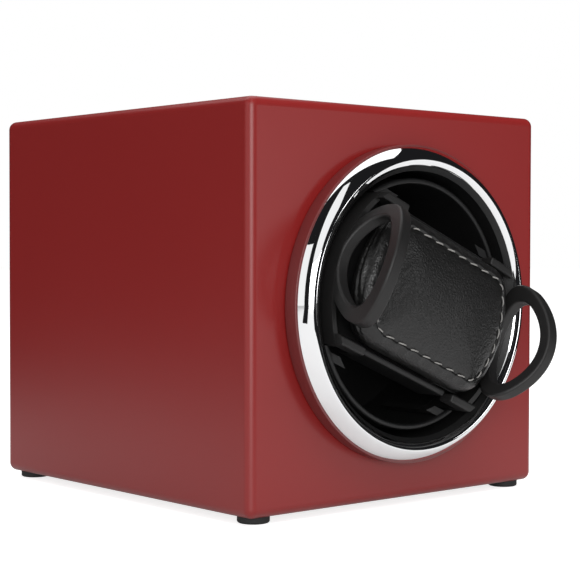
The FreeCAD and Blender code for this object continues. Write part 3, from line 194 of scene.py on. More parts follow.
class EffectSheet(Sheet):
    """Tree of an effect that several finishes share."""

    def __init__(self, name: str, inlets: dict[str, Kind], outlets: dict[str, Kind]) -> None:
        """Make the effect's group with its sockets.

        Args:
            name: name of the group.
            inlets: kinds of its inputs by name.
            outlets: kinds of its outputs by name.
        """
        super().__init__(bpy.data.node_groups.new(name, "ShaderNodeTree"))
        for side, sockets in (("INPUT", inlets), ("OUTPUT", outlets)):
            for label, kind in sockets.items():
                self.tree.interface.new_socket(label, in_out=side, socket_type=kind.value)
        self.inlets = self.add("NodeGroupInput").outputs
        self.outlets = self.add("NodeGroupOutput").inputs


@cache
def tone_drift() -> bpy.types.NodeTree:
    """Effect: a colour that drifts towards a second one in soft patches.

    Returns:
        The effect's group.
    """
    inlets = {"Tone": Kind.COLOUR, "Second Tone": Kind.COLOUR, "Scale": Kind.VALUE, "Share": Kind.VALUE}
    sheet = EffectSheet("tone_drift", inlets, {"Colour": Kind.COLOUR})
    patches = sheet.ramp(sheet.cloud(sheet.place(), sheet.inlets["Scale"]), *CLOUD_RANGE)
    share = sheet.math("MULTIPLY", patches, sheet.inlets["Share"])
    colour = sheet.blend(share, sheet.inlets["Tone"], sheet.inlets["Second Tone"])
    sheet.feed(sheet.outlets["Colour"], colour)
    return sheet.tree


@cache
def handling_marks() -> bpy.types.NodeTree:
    """Effect: roughness that wanders with faint wiping marks.

    Returns:
        The effect's group.
    """
    inlets = {"Roughness": Kind.VALUE, "Spread": Kind.VALUE, "Scale": Kind.VALUE}
    sheet = EffectSheet("handling_marks", inlets, {"Roughness": Kind.VALUE})
    upright = (1.0, 1.0, 0.35)
    wipes = sheet.cloud(sheet.place(upright), sheet.inlets["Scale"], detail=5.0, roughness=0.6)
    centred = sheet.math("SUBTRACT", wipes, 0.5)
    change = sheet.math("MULTIPLY", centred, sheet.inlets["Spread"])
    sheet.feed(sheet.outlets["Roughness"], sheet.math("ADD", sheet.inlets["Roughness"], change))
    return sheet.tree


@cache
def fine_grain() -> bpy.types.NodeTree:
    """Effect: height of a fine moulded or sprayed texture.

    Returns:
        The effect's group.
    """
    inlets = {"Scale": Kind.VALUE, "Pebbles": Kind.VALUE}
    sheet = EffectSheet("fine_grain", inlets, {"Height": Kind.VALUE})
    points = sheet.place()
    waves = sheet.cloud(points, sheet.inlets["Scale"], detail=2.0)
    cells = sheet.add("ShaderNodeTexVoronoi", {"Vector": points, "Scale": sheet.inlets["Scale"]})
    pebbles = sheet.math("MULTIPLY", cells.outputs["Distance"], sheet.inlets["Pebbles"])
    sheet.feed(sheet.outlets["Height"], sheet.math("ADD", waves, pebbles))
    return sheet.tree


def new_material(name: str) -> tuple[bpy.types.Material, Sheet]:
    """Start a material.

    Args:
        name: name of the material.

    Returns:
        The material and its empty tree.
    """
    material = bpy.data.materials.new(name)
    material.use_nodes = True
    return material, Sheet(material.node_tree)


@dataclass(frozen=True)
class Finish:
    """A surface whose colour, gloss and relief vary over it."""

    name: str
    tone: Tone
    second_tone: Tone
    roughness: float
    drift_scale: float = 30.0
    drift_share: float = 0.5
    roughness_spread: float = 0.12
    marks_scale: float = 90.0
    grain_scale: float = 2500.0
    grain_pebbles: float = 0.5
    grain_depth: float = 0.00004
    metallic: float = 0.0
    specular: float = 0.5

    @cache
    def paint(self) -> bpy.types.Material:
        """Make the material of this finish, once.

        Returns:
            The material.
        """
        material, sheet = new_material(self.name)
        material.diffuse_color = (*self.tone, 1.0)
        relief = {"Height": self.relief(sheet), "Distance": self.grain_depth, "Strength": 1.0}
        values = {
            "Base Color": self.colour(sheet),
            "Roughness": self.gloss(sheet),
            "Normal": sheet.add("ShaderNodeBump", relief).outputs[0],
            "Metallic": self.metallic,
            "Specular IOR Level": self.specular,
        }
        surface = sheet.add("ShaderNodeBsdfPrincipled", values)
        sheet.add("ShaderNodeOutputMaterial", {"Surface": surface.outputs[0]})
        return material

    def colour(self, sheet: Sheet) -> Socket:
        """Draw the colour over the surface.

        Args:
            sheet: the material's tree.

        Returns:
            The socket of the colour.
        """
        values = {"Tone": self.tone, "Second Tone": self.second_tone,
                  "Scale": self.drift_scale, "Share": self.drift_share}
        return sheet.effect(tone_drift(), values)

    def gloss(self, sheet: Sheet) -> Socket:
        """Socket of the roughness over the surface."""
        values = {"Roughness": self.roughness, "Spread": self.roughness_spread, "Scale": self.marks_scale}
        return sheet.effect(handling_marks(), values)

    def relief(self, sheet: Sheet) -> Socket:
        """Socket of the height of the fine relief."""
        return sheet.effect(fine_grain(), {"Scale": self.grain_scale, "Pebbles": self.grain_pebbles})


@dataclass(frozen=True)
class LeatherFinish(Finish):
    """Dyed leather with pores in small cells and soft creases."""

    cell_scale: float = 1000.0
    cell_drift: float = 0.0006
    pillow_width: float = 0.32
    crease_scale: float = 260.0
    crease_stretch: Point = (1.0, 1.0, 2.2)
    crease_height: float = 1.6

    def relief(self, sheet: Sheet) -> Socket:
        """Draw the pores, cells and creases.

        Args:
            sheet: the material's tree.

        Returns:
            The socket of their height.
        """
        points = sheet.place()
        bent = sheet.add("ShaderNodeTexNoise", {"Vector": points, "Scale": self.cell_scale / 2})
        values = {0: bent.outputs["Color"], "Scale": self.cell_drift}
        drift = sheet.add("ShaderNodeVectorMath", values, operation="SCALE")
        moved = sheet.add("ShaderNodeVectorMath", {0: points, 1: drift.outputs[0]}, operation="ADD")
        cells = sheet.add("ShaderNodeTexVoronoi", {"Vector": moved.outputs[0], "Scale": self.cell_scale},
                          feature="DISTANCE_TO_EDGE")
        pillows = sheet.ramp(cells.outputs["Distance"], 0.0, self.pillow_width)
        stretched = sheet.place(self.crease_stretch)
        folds = sheet.cloud(stretched, self.crease_scale, detail=1.5, roughness=0.5)
        return sheet.math("ADD", pillows, sheet.math("MULTIPLY", folds, self.crease_height))


@dataclass(frozen=True)
class WoodFinish(Finish):
    """Plain sawn wood with its grain along the blocks."""

    ring_scale: float = 420.0
    ring_stretch: Point = (1.0, 0.08, 1.0)
    ring_range: Pair = (0.35, 0.65)

    def colour(self, sheet: Sheet) -> Socket:
        """Draw the grain.

        Args:
            sheet: the material's tree.

        Returns:
            The socket of its colour.
        """
        points = sheet.place(self.ring_stretch)
        rings = sheet.cloud(points, self.ring_scale, detail=6.0, roughness=0.7)
        return sheet.blend(sheet.ramp(rings, *self.ring_range), self.tone, self.second_tone)


@dataclass(frozen=True)
class ThreadFinish(Finish):
    """Twisted sewing thread."""

    twist_scale: float = 1900.0
    twist_stretch: Point = (1.0, 1.0, 0.7)
    twist_wander: float = 1.5

    def relief(self, sheet: Sheet) -> Socket:
        """Draw the twisted strands.

        Args:
            sheet: the material's tree.

        Returns:
            The socket of their height.
        """
        values = {"Vector": sheet.place(self.twist_stretch), "Scale": self.twist_scale,
                  "Distortion": self.twist_wander}
        return sheet.add("ShaderNodeTexWave", values, bands_direction="DIAGONAL").outputs[1]


FINISHES: dict[Slot, Finish] = {
    Slot.RED_LACQUER: Finish("satin_red_lacquer", (0.235, 0.0125, 0.0118), (0.22, 0.0112, 0.0104), 0.35,
                             drift_scale=9.0, roughness_spread=0.05, marks_scale=14.0,
                             grain_scale=900.0, grain_pebbles=0.1, grain_depth=0.000004),
    Slot.CHROME: Finish("polished_chrome", (0.88, 0.885, 0.89), (0.84, 0.845, 0.855), 0.035,
                        drift_scale=40.0, roughness_spread=0.04, marks_scale=70.0,
                        grain_scale=700.0, grain_pebbles=0.0, grain_depth=0.000001, metallic=1.0),
    Slot.BLACK_PLASTIC: Finish("fine_matte_black", (0.0075, 0.0075, 0.0077), (0.0105, 0.0102, 0.0102), 0.42,
                               grain_scale=2600.0, grain_depth=0.000025, specular=0.4),
    Slot.BLACK_LEATHER: LeatherFinish("grained_leather", (0.0075, 0.0074, 0.0073), (0.0115, 0.011, 0.0107),
                                      0.34, drift_scale=120.0, marks_scale=220.0, grain_depth=0.00005),
    Slot.BLACK_RUBBER: Finish("foot_rubber", (0.012, 0.012, 0.012), (0.019, 0.018, 0.018), 0.72,
                              grain_scale=1800.0),
    Slot.BRONZE: Finish("sintered_bronze", (0.46, 0.29, 0.13), (0.34, 0.2, 0.09), 0.42,
                        drift_scale=300.0, grain_scale=5200.0, grain_pebbles=1.0, grain_depth=0.00003,
                        metallic=1.0),
    Slot.PALE_PLASTIC: Finish("pale_nylon", (0.72, 0.7, 0.64), (0.66, 0.63, 0.56), 0.4,
                              grain_depth=0.00002),
    Slot.STEEL: Finish("plated_steel", (0.56, 0.57, 0.58), (0.47, 0.475, 0.48), 0.27,
                       drift_scale=160.0, roughness_spread=0.2, marks_scale=420.0,
                       grain_scale=3000.0, grain_pebbles=0.2, grain_depth=0.000008, metallic=1.0),
    Slot.BARE_WOOD: WoodFinish("sawn_wood", (0.47, 0.33, 0.2), (0.34, 0.21, 0.115), 0.7,
                               grain_scale=1500.0, grain_depth=0.00008),
    Slot.BOARD_GREEN: Finish("board_mask", (0.018, 0.115, 0.045), (0.014, 0.09, 0.036), 0.3,
                             drift_scale=500.0, grain_scale=900.0, grain_depth=0.00002),
    Slot.TERMINAL_GREEN: Finish("terminal_nylon", (0.05, 0.3, 0.14), (0.042, 0.26, 0.12), 0.45),
    Slot.RED_WIRE: Finish("red_insulation", (0.34, 0.018, 0.016), (0.28, 0.014, 0.013), 0.38,
                          grain_depth=0.00002),
}
# Painted shade and painted sheen: the case's lacquer with a darker red, for the shade on the ring's wall,
# and more green and blue, for a pale whitish sheen on it.
RING_LACQUER_PAINTED_SHADE_SHEEN = replace(FINISHES[Slot.RED_LACQUER], name="ring_lacquer_painted_shade_sheen", tone=(0.15, 0.022, 0.022),
                       second_tone=(0.142, 0.02, 0.0198), roughness=0.4, specular=0.75)
SOFT_TOUCH = Finish("soft_touch_black", (0.0115, 0.0111, 0.0111), (0.0145, 0.0138, 0.0136), 0.47,
                    drift_scale=60.0, roughness_spread=0.1, marks_scale=160.0,
                    grain_scale=3200.0, grain_depth=0.00002, specular=0.42)
THREAD = ThreadFinish("grey_thread", (0.32, 0.31, 0.295), (0.2, 0.195, 0.19), 0.62,
                      drift_scale=700.0, grain_depth=0.00008)


def dress(node: str, finish: Finish) -> None:
    """Give a solid of the frame its finish.

    Args:
        node: name of the solid.
        finish: what covers it.
    """
    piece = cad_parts[node]
    material = finish.paint()
    if not piece.material_slots:
        piece.data.materials.append(material)
    for slot in piece.material_slots:
        slot.material = material
    LOG.info("%s: %s", node, finish.name)


def dress_all(slot: Slot, *nodes: str) -> None:
    """Give several solids the finish of one slot."""
    for node in nodes:
        dress(node, FINISHES[slot])


def put(name: str, data: bpy.types.ID) -> bpy.types.Object:
    """Put a new object in the scene.

    Args:
        name: name of the object.
        data: its mesh, lamp or camera.

    Returns:
        The object.
    """
    thing = bpy.data.objects.new(name, data)
    bpy.context.scene.collection.objects.link(thing)
    return thing


def bare_mesh(name: str, points: np.ndarray, faces: Sequence[Sequence[int]]) -> bpy.types.Mesh:
    """Make a mesh.

    Args:
        name: name of the mesh.
        points: its points, one row each.
        faces: its faces as rows of point numbers.

    Returns:
        The mesh, without a material.
    """
    mesh = bpy.data.meshes.new(name)
    corners = [tuple(map(float, point)) for point in points]
    mesh.from_pydata(corners, [], [tuple(map(int, face)) for face in faces])
    return mesh


def mesh_piece(name: str, points: np.ndarray, faces: Sequence[Sequence[int]],
               finish: Finish) -> bpy.types.Object:
    """Smooth mesh object in the frame's metres.

    Args:
        name: name of the piece.
        points: its points, one row each.
        faces: its faces as rows of point numbers.
        finish: what covers it.

    Returns:
        The new object, in the scene.
    """
    mesh = bare_mesh(name, points, faces)
    work = bmesh.new()
    work.from_mesh(mesh)
    bmesh.ops.remove_doubles(work, verts=work.verts, dist=MERGE_DISTANCE)
    bmesh.ops.dissolve_degenerate(work, edges=work.edges, dist=SLIVER_LENGTH)
    bmesh.ops.recalc_face_normals(work, faces=work.faces)
    for face in work.faces:
        face.smooth = True
    work.to_mesh(mesh)
    work.free()
    mesh.materials.append(finish.paint())
    return put(name, mesh)


def ring_faces(rings: int, count: int, closed: bool = False) -> list[tuple[int, int, int, int]]:
    """Quads between rings of points.

    Args:
        rings: how many rings there are.
        count: points in each ring.
        closed: whether the last ring joins the first.

    Returns:
        The quads, as point numbers.
    """
    faces = []
    for ring in range(rings if closed else rings - 1):
        here = ring * count
        there = (ring + 1) % rings * count
        for step in range(count):
            after = (step + 1) % count
            faces.append((here + step, here + after, there + after, there + step))
    return faces


def smooth_line(points: Sequence[Pair], steps: int) -> np.ndarray:
    """Soft curve through points of a profile.

    Args:
        points: the profile's points.
        steps: pieces between two of them.

    Returns:
        The curve's points, one row each.
    """
    ends = np.array([points[0], *points, points[-1]], float)
    curve = []
    for before, start, end, after in zip(ends, ends[1:], ends[2:], ends[3:]):
        for share in np.arange(steps) / steps:
            bend = 2 * before - 5 * start + 4 * end - after
            sway = 3 * start - before - 3 * end + after
            pull = 2 * start + (end - before) * share + bend * share ** 2 + sway * share ** 3
            curve.append(pull / 2)
    return np.array([*curve, ends[-1]])


def arc_line(start: Pair, leans: Pair, radius: float, steps: int) -> Profile:
    """Arc of a turned profile.

    Args:
        start: its first point, as radius and reach.
        leans: lean of the surface from the front at its two ends, in degrees.
        radius: radius of the arc.
        steps: pieces that it is cut into.

    Returns:
        The arc's points.
    """
    turns = np.radians(np.linspace(*leans, steps + 1))
    return [(start[0] + radius * (math.sin(turn) - math.sin(turns[0])),
             start[1] + radius * (math.cos(turn) - math.cos(turns[0]))) for turn in turns]


def turned_ring(name: str, profile: Profile, finish: Finish, segments: int = 288) -> bpy.types.Object:
    """Ring turned from a closed profile round the drum's axis.

    Args:
        name: name of the piece.
        profile: its points, as radius and reach before the case's front.
        finish: what covers it.
        segments: steps round the axis.

    Returns:
        The new object, in the scene.
    """
    turn = np.linspace(0, 2 * math.pi, segments, endpoint=False)
    rings = [np.stack([radius * np.cos(turn), np.full(segments, FRONT_Y - reach),
                       AXIS_Z + radius * np.sin(turn)], axis=1) for radius, reach in profile]
    faces = ring_faces(len(rings), segments, closed=True)
    piece = mesh_piece(name, np.concatenate(rings) * MM, faces, finish)
    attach(piece, Body.CASE.value)
    LOG.info("%s: %d faces", name, len(piece.data.polygons))
    return piece


@dataclass
class Case:
    """Lacquered box, its feet and its rear closure."""

    feet: tuple[str, ...] = ("foot_front_left", "foot_front_right", "foot_rear_left", "foot_rear_right")

    def dress(self) -> None:
        """Finish the box, its feet and what closes it behind."""
        dress_all(Slot.RED_LACQUER, "case_shell")
        dress_all(Slot.BLACK_RUBBER, *self.feet)
        dress_all(Slot.BARE_WOOD, "corner_blocks")
        dress_all(Slot.BLACK_PLASTIC, "rear_panel")
        dress_all(Slot.STEEL, "rear_panel_screws")


@dataclass
class FrontRing:
    """Lacquered ring on the case's front, rounded at its foot and its lip."""

    radius: float = 47.6
    bore_radius: float = 41.3
    reach: float = 5.0
    foot_round: float = 0.8
    lip_round: float = 0.25
    edge: float = 0.12
    steps: int = 6

    def build(self) -> bpy.types.Object:
        """Turn the ring's profile round the drum's axis.

        Returns:
            The ring.
        """
        # The collar and the ring take the lacquer with the painted shade and painted sheen.
        dress("front_collar", RING_LACQUER_PAINTED_SHADE_SHEEN)
        foot = arc_line((self.radius - self.foot_round, 0.0), (180.0, 90.0), self.foot_round, self.steps)
        lip = arc_line((self.radius, self.reach - self.lip_round), (90.0, 0.0), self.lip_round, self.steps)
        rear = [(self.bore_radius, self.edge), (self.bore_radius + self.edge, 0.0)]
        front = [(self.bore_radius + self.edge, self.reach), (self.bore_radius, self.reach - self.edge)]
        piece = turned_ring("lacquered_ring", [*rear, *foot, *lip, *front], RING_LACQUER_PAINTED_SHADE_SHEEN)
        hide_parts("front_collar")
        return piece


@dataclass
class BrightRim:
    """Chromed ring with a sloping side and a rounded crest round the drum's opening."""

    outer_radius: float = 47.0
    rear_reach: float = 5.0
    side_leans: Pair = (66.0, 43.6)
    side_radius: float = 11.2
    crest_leans: Pair = (43.6, -14.0)
    crest_radius: float = 1.63
    inner_radius: float = 41.3
    inner_reach: float = 7.9
    inner_bulge: float = 0.12
    edge: float = 0.06
    steps: int = 28

    def build(self) -> bpy.types.Object:
        """Turn the rim's profile round the drum's axis.

        Returns:
            The rim.
        """
        dress_all(Slot.CHROME, "chrome_bezel")
        foot = (self.outer_radius, self.rear_reach + self.edge)
        side = arc_line(foot, self.side_leans, self.side_radius, self.steps)
        crest = arc_line(side[-1], self.crest_leans, self.crest_radius, self.steps)
        inner = (self.inner_radius, self.inner_reach)
        inside = self.bow(crest[-1], inner, (crest[-1][0], inner[1]), self.inner_bulge)
        rear = [(self.inner_radius, self.rear_reach + self.edge),
                (self.inner_radius + self.edge, self.rear_reach),
                (self.outer_radius - self.edge, self.rear_reach)]
        piece = turned_ring("bright_rim", [*rear, *side, *crest[1:], *inside[1:]], FINISHES[Slot.CHROME])
        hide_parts("chrome_bezel")
        return piece

    def bow(self, start: Pair, end: Pair, centre: Pair, bulge: float) -> Profile:
        """Arc between two profile points that bulges away from a centre.

        Args:
            start: first point, as radius and reach.
            end: last point.
            centre: corner that the arc bows away from.
            bulge: how far it bows, as a share of the way to the opposite corner.

        Returns:
            The arc's points.
        """
        first, last = np.array(start), np.array(end)
        middle = (first + last) / 2
        top = middle + (middle - np.array(centre)) * bulge
        sides = 2 * np.array([top - first, last - first])
        hub = np.linalg.solve(sides, [top @ top - first @ first, last @ last - first @ first])
        radius = np.linalg.norm(first - hub)
        begin, stop = (math.atan2(*(point - hub)[::-1]) for point in (first, last))
        turn = (stop - begin + math.pi) % (2 * math.pi) - math.pi
        angles = begin + turn * np.linspace(0, 1, self.steps + 1)
        return [(hub[0] + radius * math.cos(angle), hub[1] + radius * math.sin(angle)) for angle in angles]


@dataclass
class Drum:
    """Fixed housing, the drum that turns in it and the drum's bearings."""

    metal: tuple[str, ...] = ("housing_screws", "drum_shaft", "hub_screw", "shaft_clip")

    def dress(self) -> None:
        """Finish the housing, the drum and its bearings."""
        dress_all(Slot.BLACK_PLASTIC, "drum_housing", "drum")
        dress_all(Slot.STEEL, *self.metal)
        dress_all(Slot.BRONZE, "front_bush", "rear_bush")
        dress_all(Slot.PALE_PLASTIC, "thrust_washer")


@dataclass
class PadOutline:
    """Plan of the cushion: straight sides, bowed ends and round corners."""

    half_width: float = 18.5
    half_length: float = 28.6
    end_radius: float = 32.0
    corner_radius: float = 7.5

    def around(self, count: int) -> tuple[np.ndarray, np.ndarray]:
        """Points at even steps round the outline.

        Args:
            count: how many points, a multiple of 4.

        Returns:
            The points and their outward directions, one row each.
        """
        return self.at(np.arange(count) / count * self.length())

    def corner(self) -> tuple[float, float, float]:
        """Work out where a corner arc lies.

        Returns:
            The arc's centre, and the lean at which it meets the bowed end, in radians.
        """
        height = self.half_width - self.corner_radius
        end_centre = self.half_length - self.end_radius
        across = math.sqrt((self.end_radius - self.corner_radius) ** 2 - height ** 2)
        return end_centre + across, height, math.atan2(height, across)

    def length(self) -> float:
        """Length all round the outline."""
        corner_x, _, lean = self.corner()
        return 4 * (corner_x + self.corner_radius * (math.pi / 2 - lean) + self.end_radius * lean)

    def at(self, along: np.ndarray) -> tuple[np.ndarray, np.ndarray]:
        """Points at distances along the outline.

        Args:
            along: distances from the middle of the upper side, clockwise.

        Returns:
            The points and their outward directions, one row each.
        """
        corner_x, corner_height, lean = self.corner()
        quarter = self.length() / 4
        bend = self.corner_radius * (math.pi / 2 - lean)
        points, outward = [], []
        for distance in along % self.length():
            part = int(distance // quarter)
            rest = distance - part * quarter
            rest = quarter - rest if part % 2 else rest
            if rest <= corner_x:
                place, face = (rest, self.half_width), math.pi / 2
            elif rest <= corner_x + bend:
                face = math.pi / 2 - (rest - corner_x) / self.corner_radius
                place = (corner_x + self.corner_radius * math.cos(face),
                         corner_height + self.corner_radius * math.sin(face))
            else:
                face = (quarter - rest) / self.end_radius
                hub = self.half_length - self.end_radius
                place = (hub + self.end_radius * math.cos(face), self.end_radius * math.sin(face))
            side = np.array([1 if part in (0, 1) else -1, 1 if part in (0, 3) else -1])
            points.append(side * place)
            outward.append(side * (math.cos(face), math.sin(face)))
        return np.array(points), np.array(outward)


@dataclass(frozen=True)
class Creases:
    """Where the cover's side creases, and how deep.

    A grain is the waves per millimetre along the outline and along the reach, and a seed.
    """

    end_start: float = 20.0
    end_blend: float = 5.0
    side_reach: float = 11.6
    side_spread: float = 2.4
    seam_reach: float = 15.9
    seam_spread: float = 0.8
    fold_grain: Point = (0.2, 0.25, 3.0)
    fold_depth: float = 0.2
    layer_grain: Point = (0.09, 0.85, 5.0)
    layer_depth: float = 0.75
    pucker_grain: Point = (0.9, 0.4, 9.0)
    pucker_depth: float = 0.25
    seam_pucker_depth: float = 0.16
    stitch_pull: float = 0.17

    def wave(self, grain: Point, distance: float, reach: float) -> float:
        """Smooth noise of one grain at a place on the side."""
        return noise.noise(Vector((distance * grain[0], reach * grain[1], grain[2])))

    def depth(self, distance: float, reach: float, at_end: float, pull: float) -> float:
        """How far a place on the side stands out.

        Args:
            distance: how far along the outline it is.
            reach: how far before the case's front it is.
            at_end: 1 on the cushion's ends and 0 on its long sides.
            pull: 1 at the middle of a stitch and -1 between two.

        Returns:
            The depth, negative where it is pressed in.
        """
        on_side = math.exp(-((reach - self.side_reach) / self.side_spread) ** 2)
        on_seam = math.exp(-((reach - self.seam_reach) / self.seam_spread) ** 2)
        fold = self.wave(self.fold_grain, distance, reach)
        layer = self.wave(self.layer_grain, distance, reach)
        pucker = self.wave(self.pucker_grain, distance, reach)
        gathers = at_end * (self.layer_depth * layer + self.pucker_depth * pucker)
        depth = on_side * (self.fold_depth * fold + gathers)
        return depth + on_seam * (self.seam_pucker_depth * pucker - self.stitch_pull * pull)


@dataclass
class WatchHolder:
    """Padded holder with its frame, its finger loops and the sewn cushion."""

    turn: float = 23.0
    outline: PadOutline = field(default_factory=PadOutline)
    creases: Creases = Creases()
    around: int = 400
    spine_half_length: float = 6.0
    spine_share: float = 0.6
    base_rings: int = 6
    panel_rings: int = 22
    crown_reach: float = 18.2
    stitch_inset: float = 2.2
    stitch_reach: float = 15.92
    stitch_pitch: float = 5.3
    stitch_length: float = 3.3
    stitch_radius: float = 0.24
    stitch_slant: float = 0.2
    stitch_rise: float = 0.3
    stitch_dip: float = 0.42
    stitch_taper: float = 0.35
    stitch_flatness: float = 0.8
    stitch_sides: int = 8
    stitch_steps: int = 8
    sim_scale: float = 10.0
    sim_frames: int = 18
    swell_limit: float = 0.5
    side: tuple[Pair, ...] = (
        (-4.0, 7.5), (-1.0, 7.5), (0.2, 7.55), (0.9, 8.0), (1.3, 9.0), (1.6, 10.2), (1.72, 11.4),
        (1.58, 12.6), (1.18, 13.7), (0.55, 14.7), (-0.3, 15.48), (-1.15, 15.96), (-1.72, 16.04),
        (-2.2, 15.76), (-2.7, 16.04), (-3.5, 16.42), (-4.7, 16.72),
    )
    last_base_point: int = 3
    seam_point: int = 13
    steps: int = 4

    def dress(self) -> None:
        """Finish the holder's solids."""
        dress_all(Slot.BLACK_PLASTIC, "holder_frame", "pad_core")
        dress_all(Slot.STEEL, "pad_screws")
        dress_all(Slot.BLACK_LEATHER, "watch_cushion")
        for node in ("finger_loop_left", "finger_loop_right"):
            dress(node, SOFT_TOUCH)

    def held(self, level: np.ndarray) -> np.ndarray:
        """Places in the frame of points drawn on the level holder.

        Args:
            level: points as run along the holder, reach, and height across it.

        Returns:
            The points in metres, turned with the holder.
        """
        lean = math.radians(self.turn)
        run, reach, rise = level[:, 0], level[:, 1], level[:, 2]
        return np.stack([run * math.cos(lean) + rise * math.sin(lean), FRONT_Y - reach,
                         AXIS_Z - run * math.sin(lean) + rise * math.cos(lean)], axis=1) * MM

    def ring(self, flat: np.ndarray, reach: float) -> np.ndarray:
        """Ring of points at one reach, from their run and height."""
        return np.stack([flat[:, 0], np.full(self.around, reach), flat[:, 1]], axis=1)

    def cover_rings(self) -> tuple[np.ndarray, np.ndarray]:
        """Rings of the cover from the middle of its base to the middle of its top.

        Returns:
            The points of all rings in turn, and whether each is held while the padding swells.
        """
        plan, outward = self.outline.around(self.around)
        profile = smooth_line(self.side, self.steps)
        run = np.clip(plan[:, 0] * self.spine_share, -self.spine_half_length, self.spine_half_length)
        spine = np.stack([run, np.zeros(self.around)], axis=1)
        rings, pinned = [], []
        inside = plan + outward * self.side[0][0]
        for share in np.linspace(1, 0, self.base_rings + 1)[:-1]:
            rings.append(self.ring(inside + (spine - inside) * share, self.side[0][1]))
            pinned.append(True)
        for row, (offset, reach) in enumerate(profile):
            on_base = row <= self.last_base_point * self.steps
            on_seam = row == self.seam_point * self.steps
            rings.append(self.ring(plan + outward * offset, reach))
            pinned.append(on_base or on_seam)
        edge = rings[-1][:, (0, 2)]
        rim = self.side[-1][1]
        for share in np.linspace(0, 1, self.panel_rings + 1)[1:]:
            rise = (self.crown_reach - rim) * (1 - (1 - share) ** 2)
            rings.append(self.ring(edge + (spine - edge) * share, rim + rise))
            pinned.append(False)
        return np.concatenate(rings), np.repeat(pinned, self.around)

    def swell(self, points: np.ndarray, faces: Sequence[Sequence[int]], pinned: np.ndarray) -> np.ndarray:
        """Let the padding press the cover out between its seams, as cloth under pressure.

        Args:
            points: the cover's points, in millimetres.
            faces: its faces.
            pinned: whether each point is held in place.

        Returns:
            The points after the swelling.
        """
        size = self.sim_scale * MM
        blank = put("cover_blank", bare_mesh("cover_blank", points * size, faces))
        scene = bpy.context.scene
        seam = blank.vertex_groups.new(name="seams")
        seam.add(np.flatnonzero(pinned).tolist(), 1.0, "REPLACE")
        cloth = blank.modifiers.new("padding", "CLOTH")
        for name, value in LEATHER_CLOTH.items():
            setattr(cloth.settings, name, value)
        cloth.settings.vertex_group_mass = seam.name
        cloth.settings.effector_weights.gravity = 0
        cloth.collision_settings.use_collision = False
        for number in range(1, self.sim_frames + 1):
            scene.frame_set(number)
        shaped = blank.evaluated_get(bpy.context.evaluated_depsgraph_get()).to_mesh()
        moved = np.empty(len(points) * 3)
        shaped.vertices.foreach_get("co", moved)
        change = moved.reshape(-1, 3) / size - points
        scene.frame_set(1)
        bpy.data.objects.remove(blank)
        far = np.linalg.norm(change, axis=1, keepdims=True)
        LOG.info("padding swelled by %.2f mm at most", float(far.max()))
        return points + change * np.minimum(1.0, self.swell_limit / np.maximum(far, TINY))

    def crease(self, points: np.ndarray, rings: int) -> np.ndarray:
        """Press soft creases into the cover's side.

        Args:
            points: the cover's points, in millimetres.
            rings: how many rings they make.

        Returns:
            The creased points.
        """
        table = points.reshape(rings, self.around, 3).copy()
        plan, outward = self.outline.around(self.around)
        length = self.outline.length()
        along = np.arange(self.around) / self.around * length
        pull = np.cos(2 * math.pi * (along / length * self.stitch_count() - 0.5))
        past_side = np.abs(plan[:, 0]) - self.creases.end_start
        at_end = np.clip(past_side / self.creases.end_blend, 0.0, 1.0)
        for row in table:
            reach = float(row[:, 1].mean())
            for step, distance in enumerate(along):
                depth = self.creases.depth(distance, reach, at_end[step], pull[step])
                row[step, 0] += depth * outward[step, 0]
                row[step, 2] += depth * outward[step, 1]
        return table.reshape(-1, 3)

    def build_cover(self) -> bpy.types.Object:
        """Make the leather cover over the cushion's solid.

        Returns:
            The cover.
        """
        points, pinned = self.cover_rings()
        rings = len(points) // self.around
        faces = ring_faces(rings, self.around)
        points = self.swell(points, faces, pinned)
        piece = mesh_piece("cushion_cover", self.held(self.crease(points, rings)), faces,
                           FINISHES[Slot.BLACK_LEATHER])
        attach(piece, Body.HOLDER.value)
        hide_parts("watch_cushion")
        LOG.info("cushion_cover: %d faces", len(piece.data.polygons))
        return piece

    def stitch_count(self) -> int:
        """Number of stitches all round the cushion."""
        return round(self.outline.length() / self.stitch_pitch)

    def build_stitching(self) -> bpy.types.Object:
        """Sew the row of stitches round the cushion's top.

        Returns:
            All the stitches, as one piece.
        """
        length = self.outline.length()
        count = self.stitch_count()
        sides = self.stitch_sides
        points, faces = [], []
        turn = np.linspace(0, 2 * math.pi, sides, endpoint=False)
        share = np.linspace(-1, 1, self.stitch_steps + 1)
        for number in range(count):
            along = (number + 0.5) * length / count + share * self.stitch_length / 2
            plan, outward = self.outline.at(along)
            inset = -self.stitch_inset + self.stitch_slant * share
            line = plan + outward * inset[:, None]
            reach = self.stitch_reach + self.stitch_rise - self.stitch_dip * np.abs(share) ** 3
            thick = self.stitch_radius * (1 - self.stitch_taper * np.abs(share) ** 4)
            for place, face, ahead, radius in zip(line, outward, reach, thick):
                for angle in turn:
                    flat = place + face * radius * math.cos(angle)
                    rise = self.stitch_flatness * radius * math.sin(angle)
                    points.append((flat[0], ahead + rise, flat[1]))
            first = number * len(share) * sides
            faces += [tuple(first + corner for corner in quad) for quad in ring_faces(len(share), sides)]
            faces.append(tuple(range(first, first + sides)))
            last = first + (len(share) - 1) * sides
            faces.append(tuple(range(last, last + sides)))
        piece = mesh_piece("cushion_stitching", self.held(np.array(points)), faces, THREAD)
        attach(piece, Body.HOLDER.value)
        LOG.info("cushion_stitching: %d stitches", count)
        return piece


@dataclass
class Drive:
    """Pulleys, belt, gearbox and motor behind the housing."""

    metal: tuple[str, ...] = ("pulley_grub_screw", "motor_shaft", "motor_can", "motor_bracket",
                              "motor_screws", "bracket_screws")

    def dress(self) -> None:
        """Finish the drive."""
        dress_all(Slot.PALE_PLASTIC, "driven_pulley", "motor_pulley")
        dress_all(Slot.STEEL, *self.metal)
        dress_all(Slot.BLACK_RUBBER, "drive_belt")
        dress_all(Slot.BLACK_PLASTIC, "gearbox")


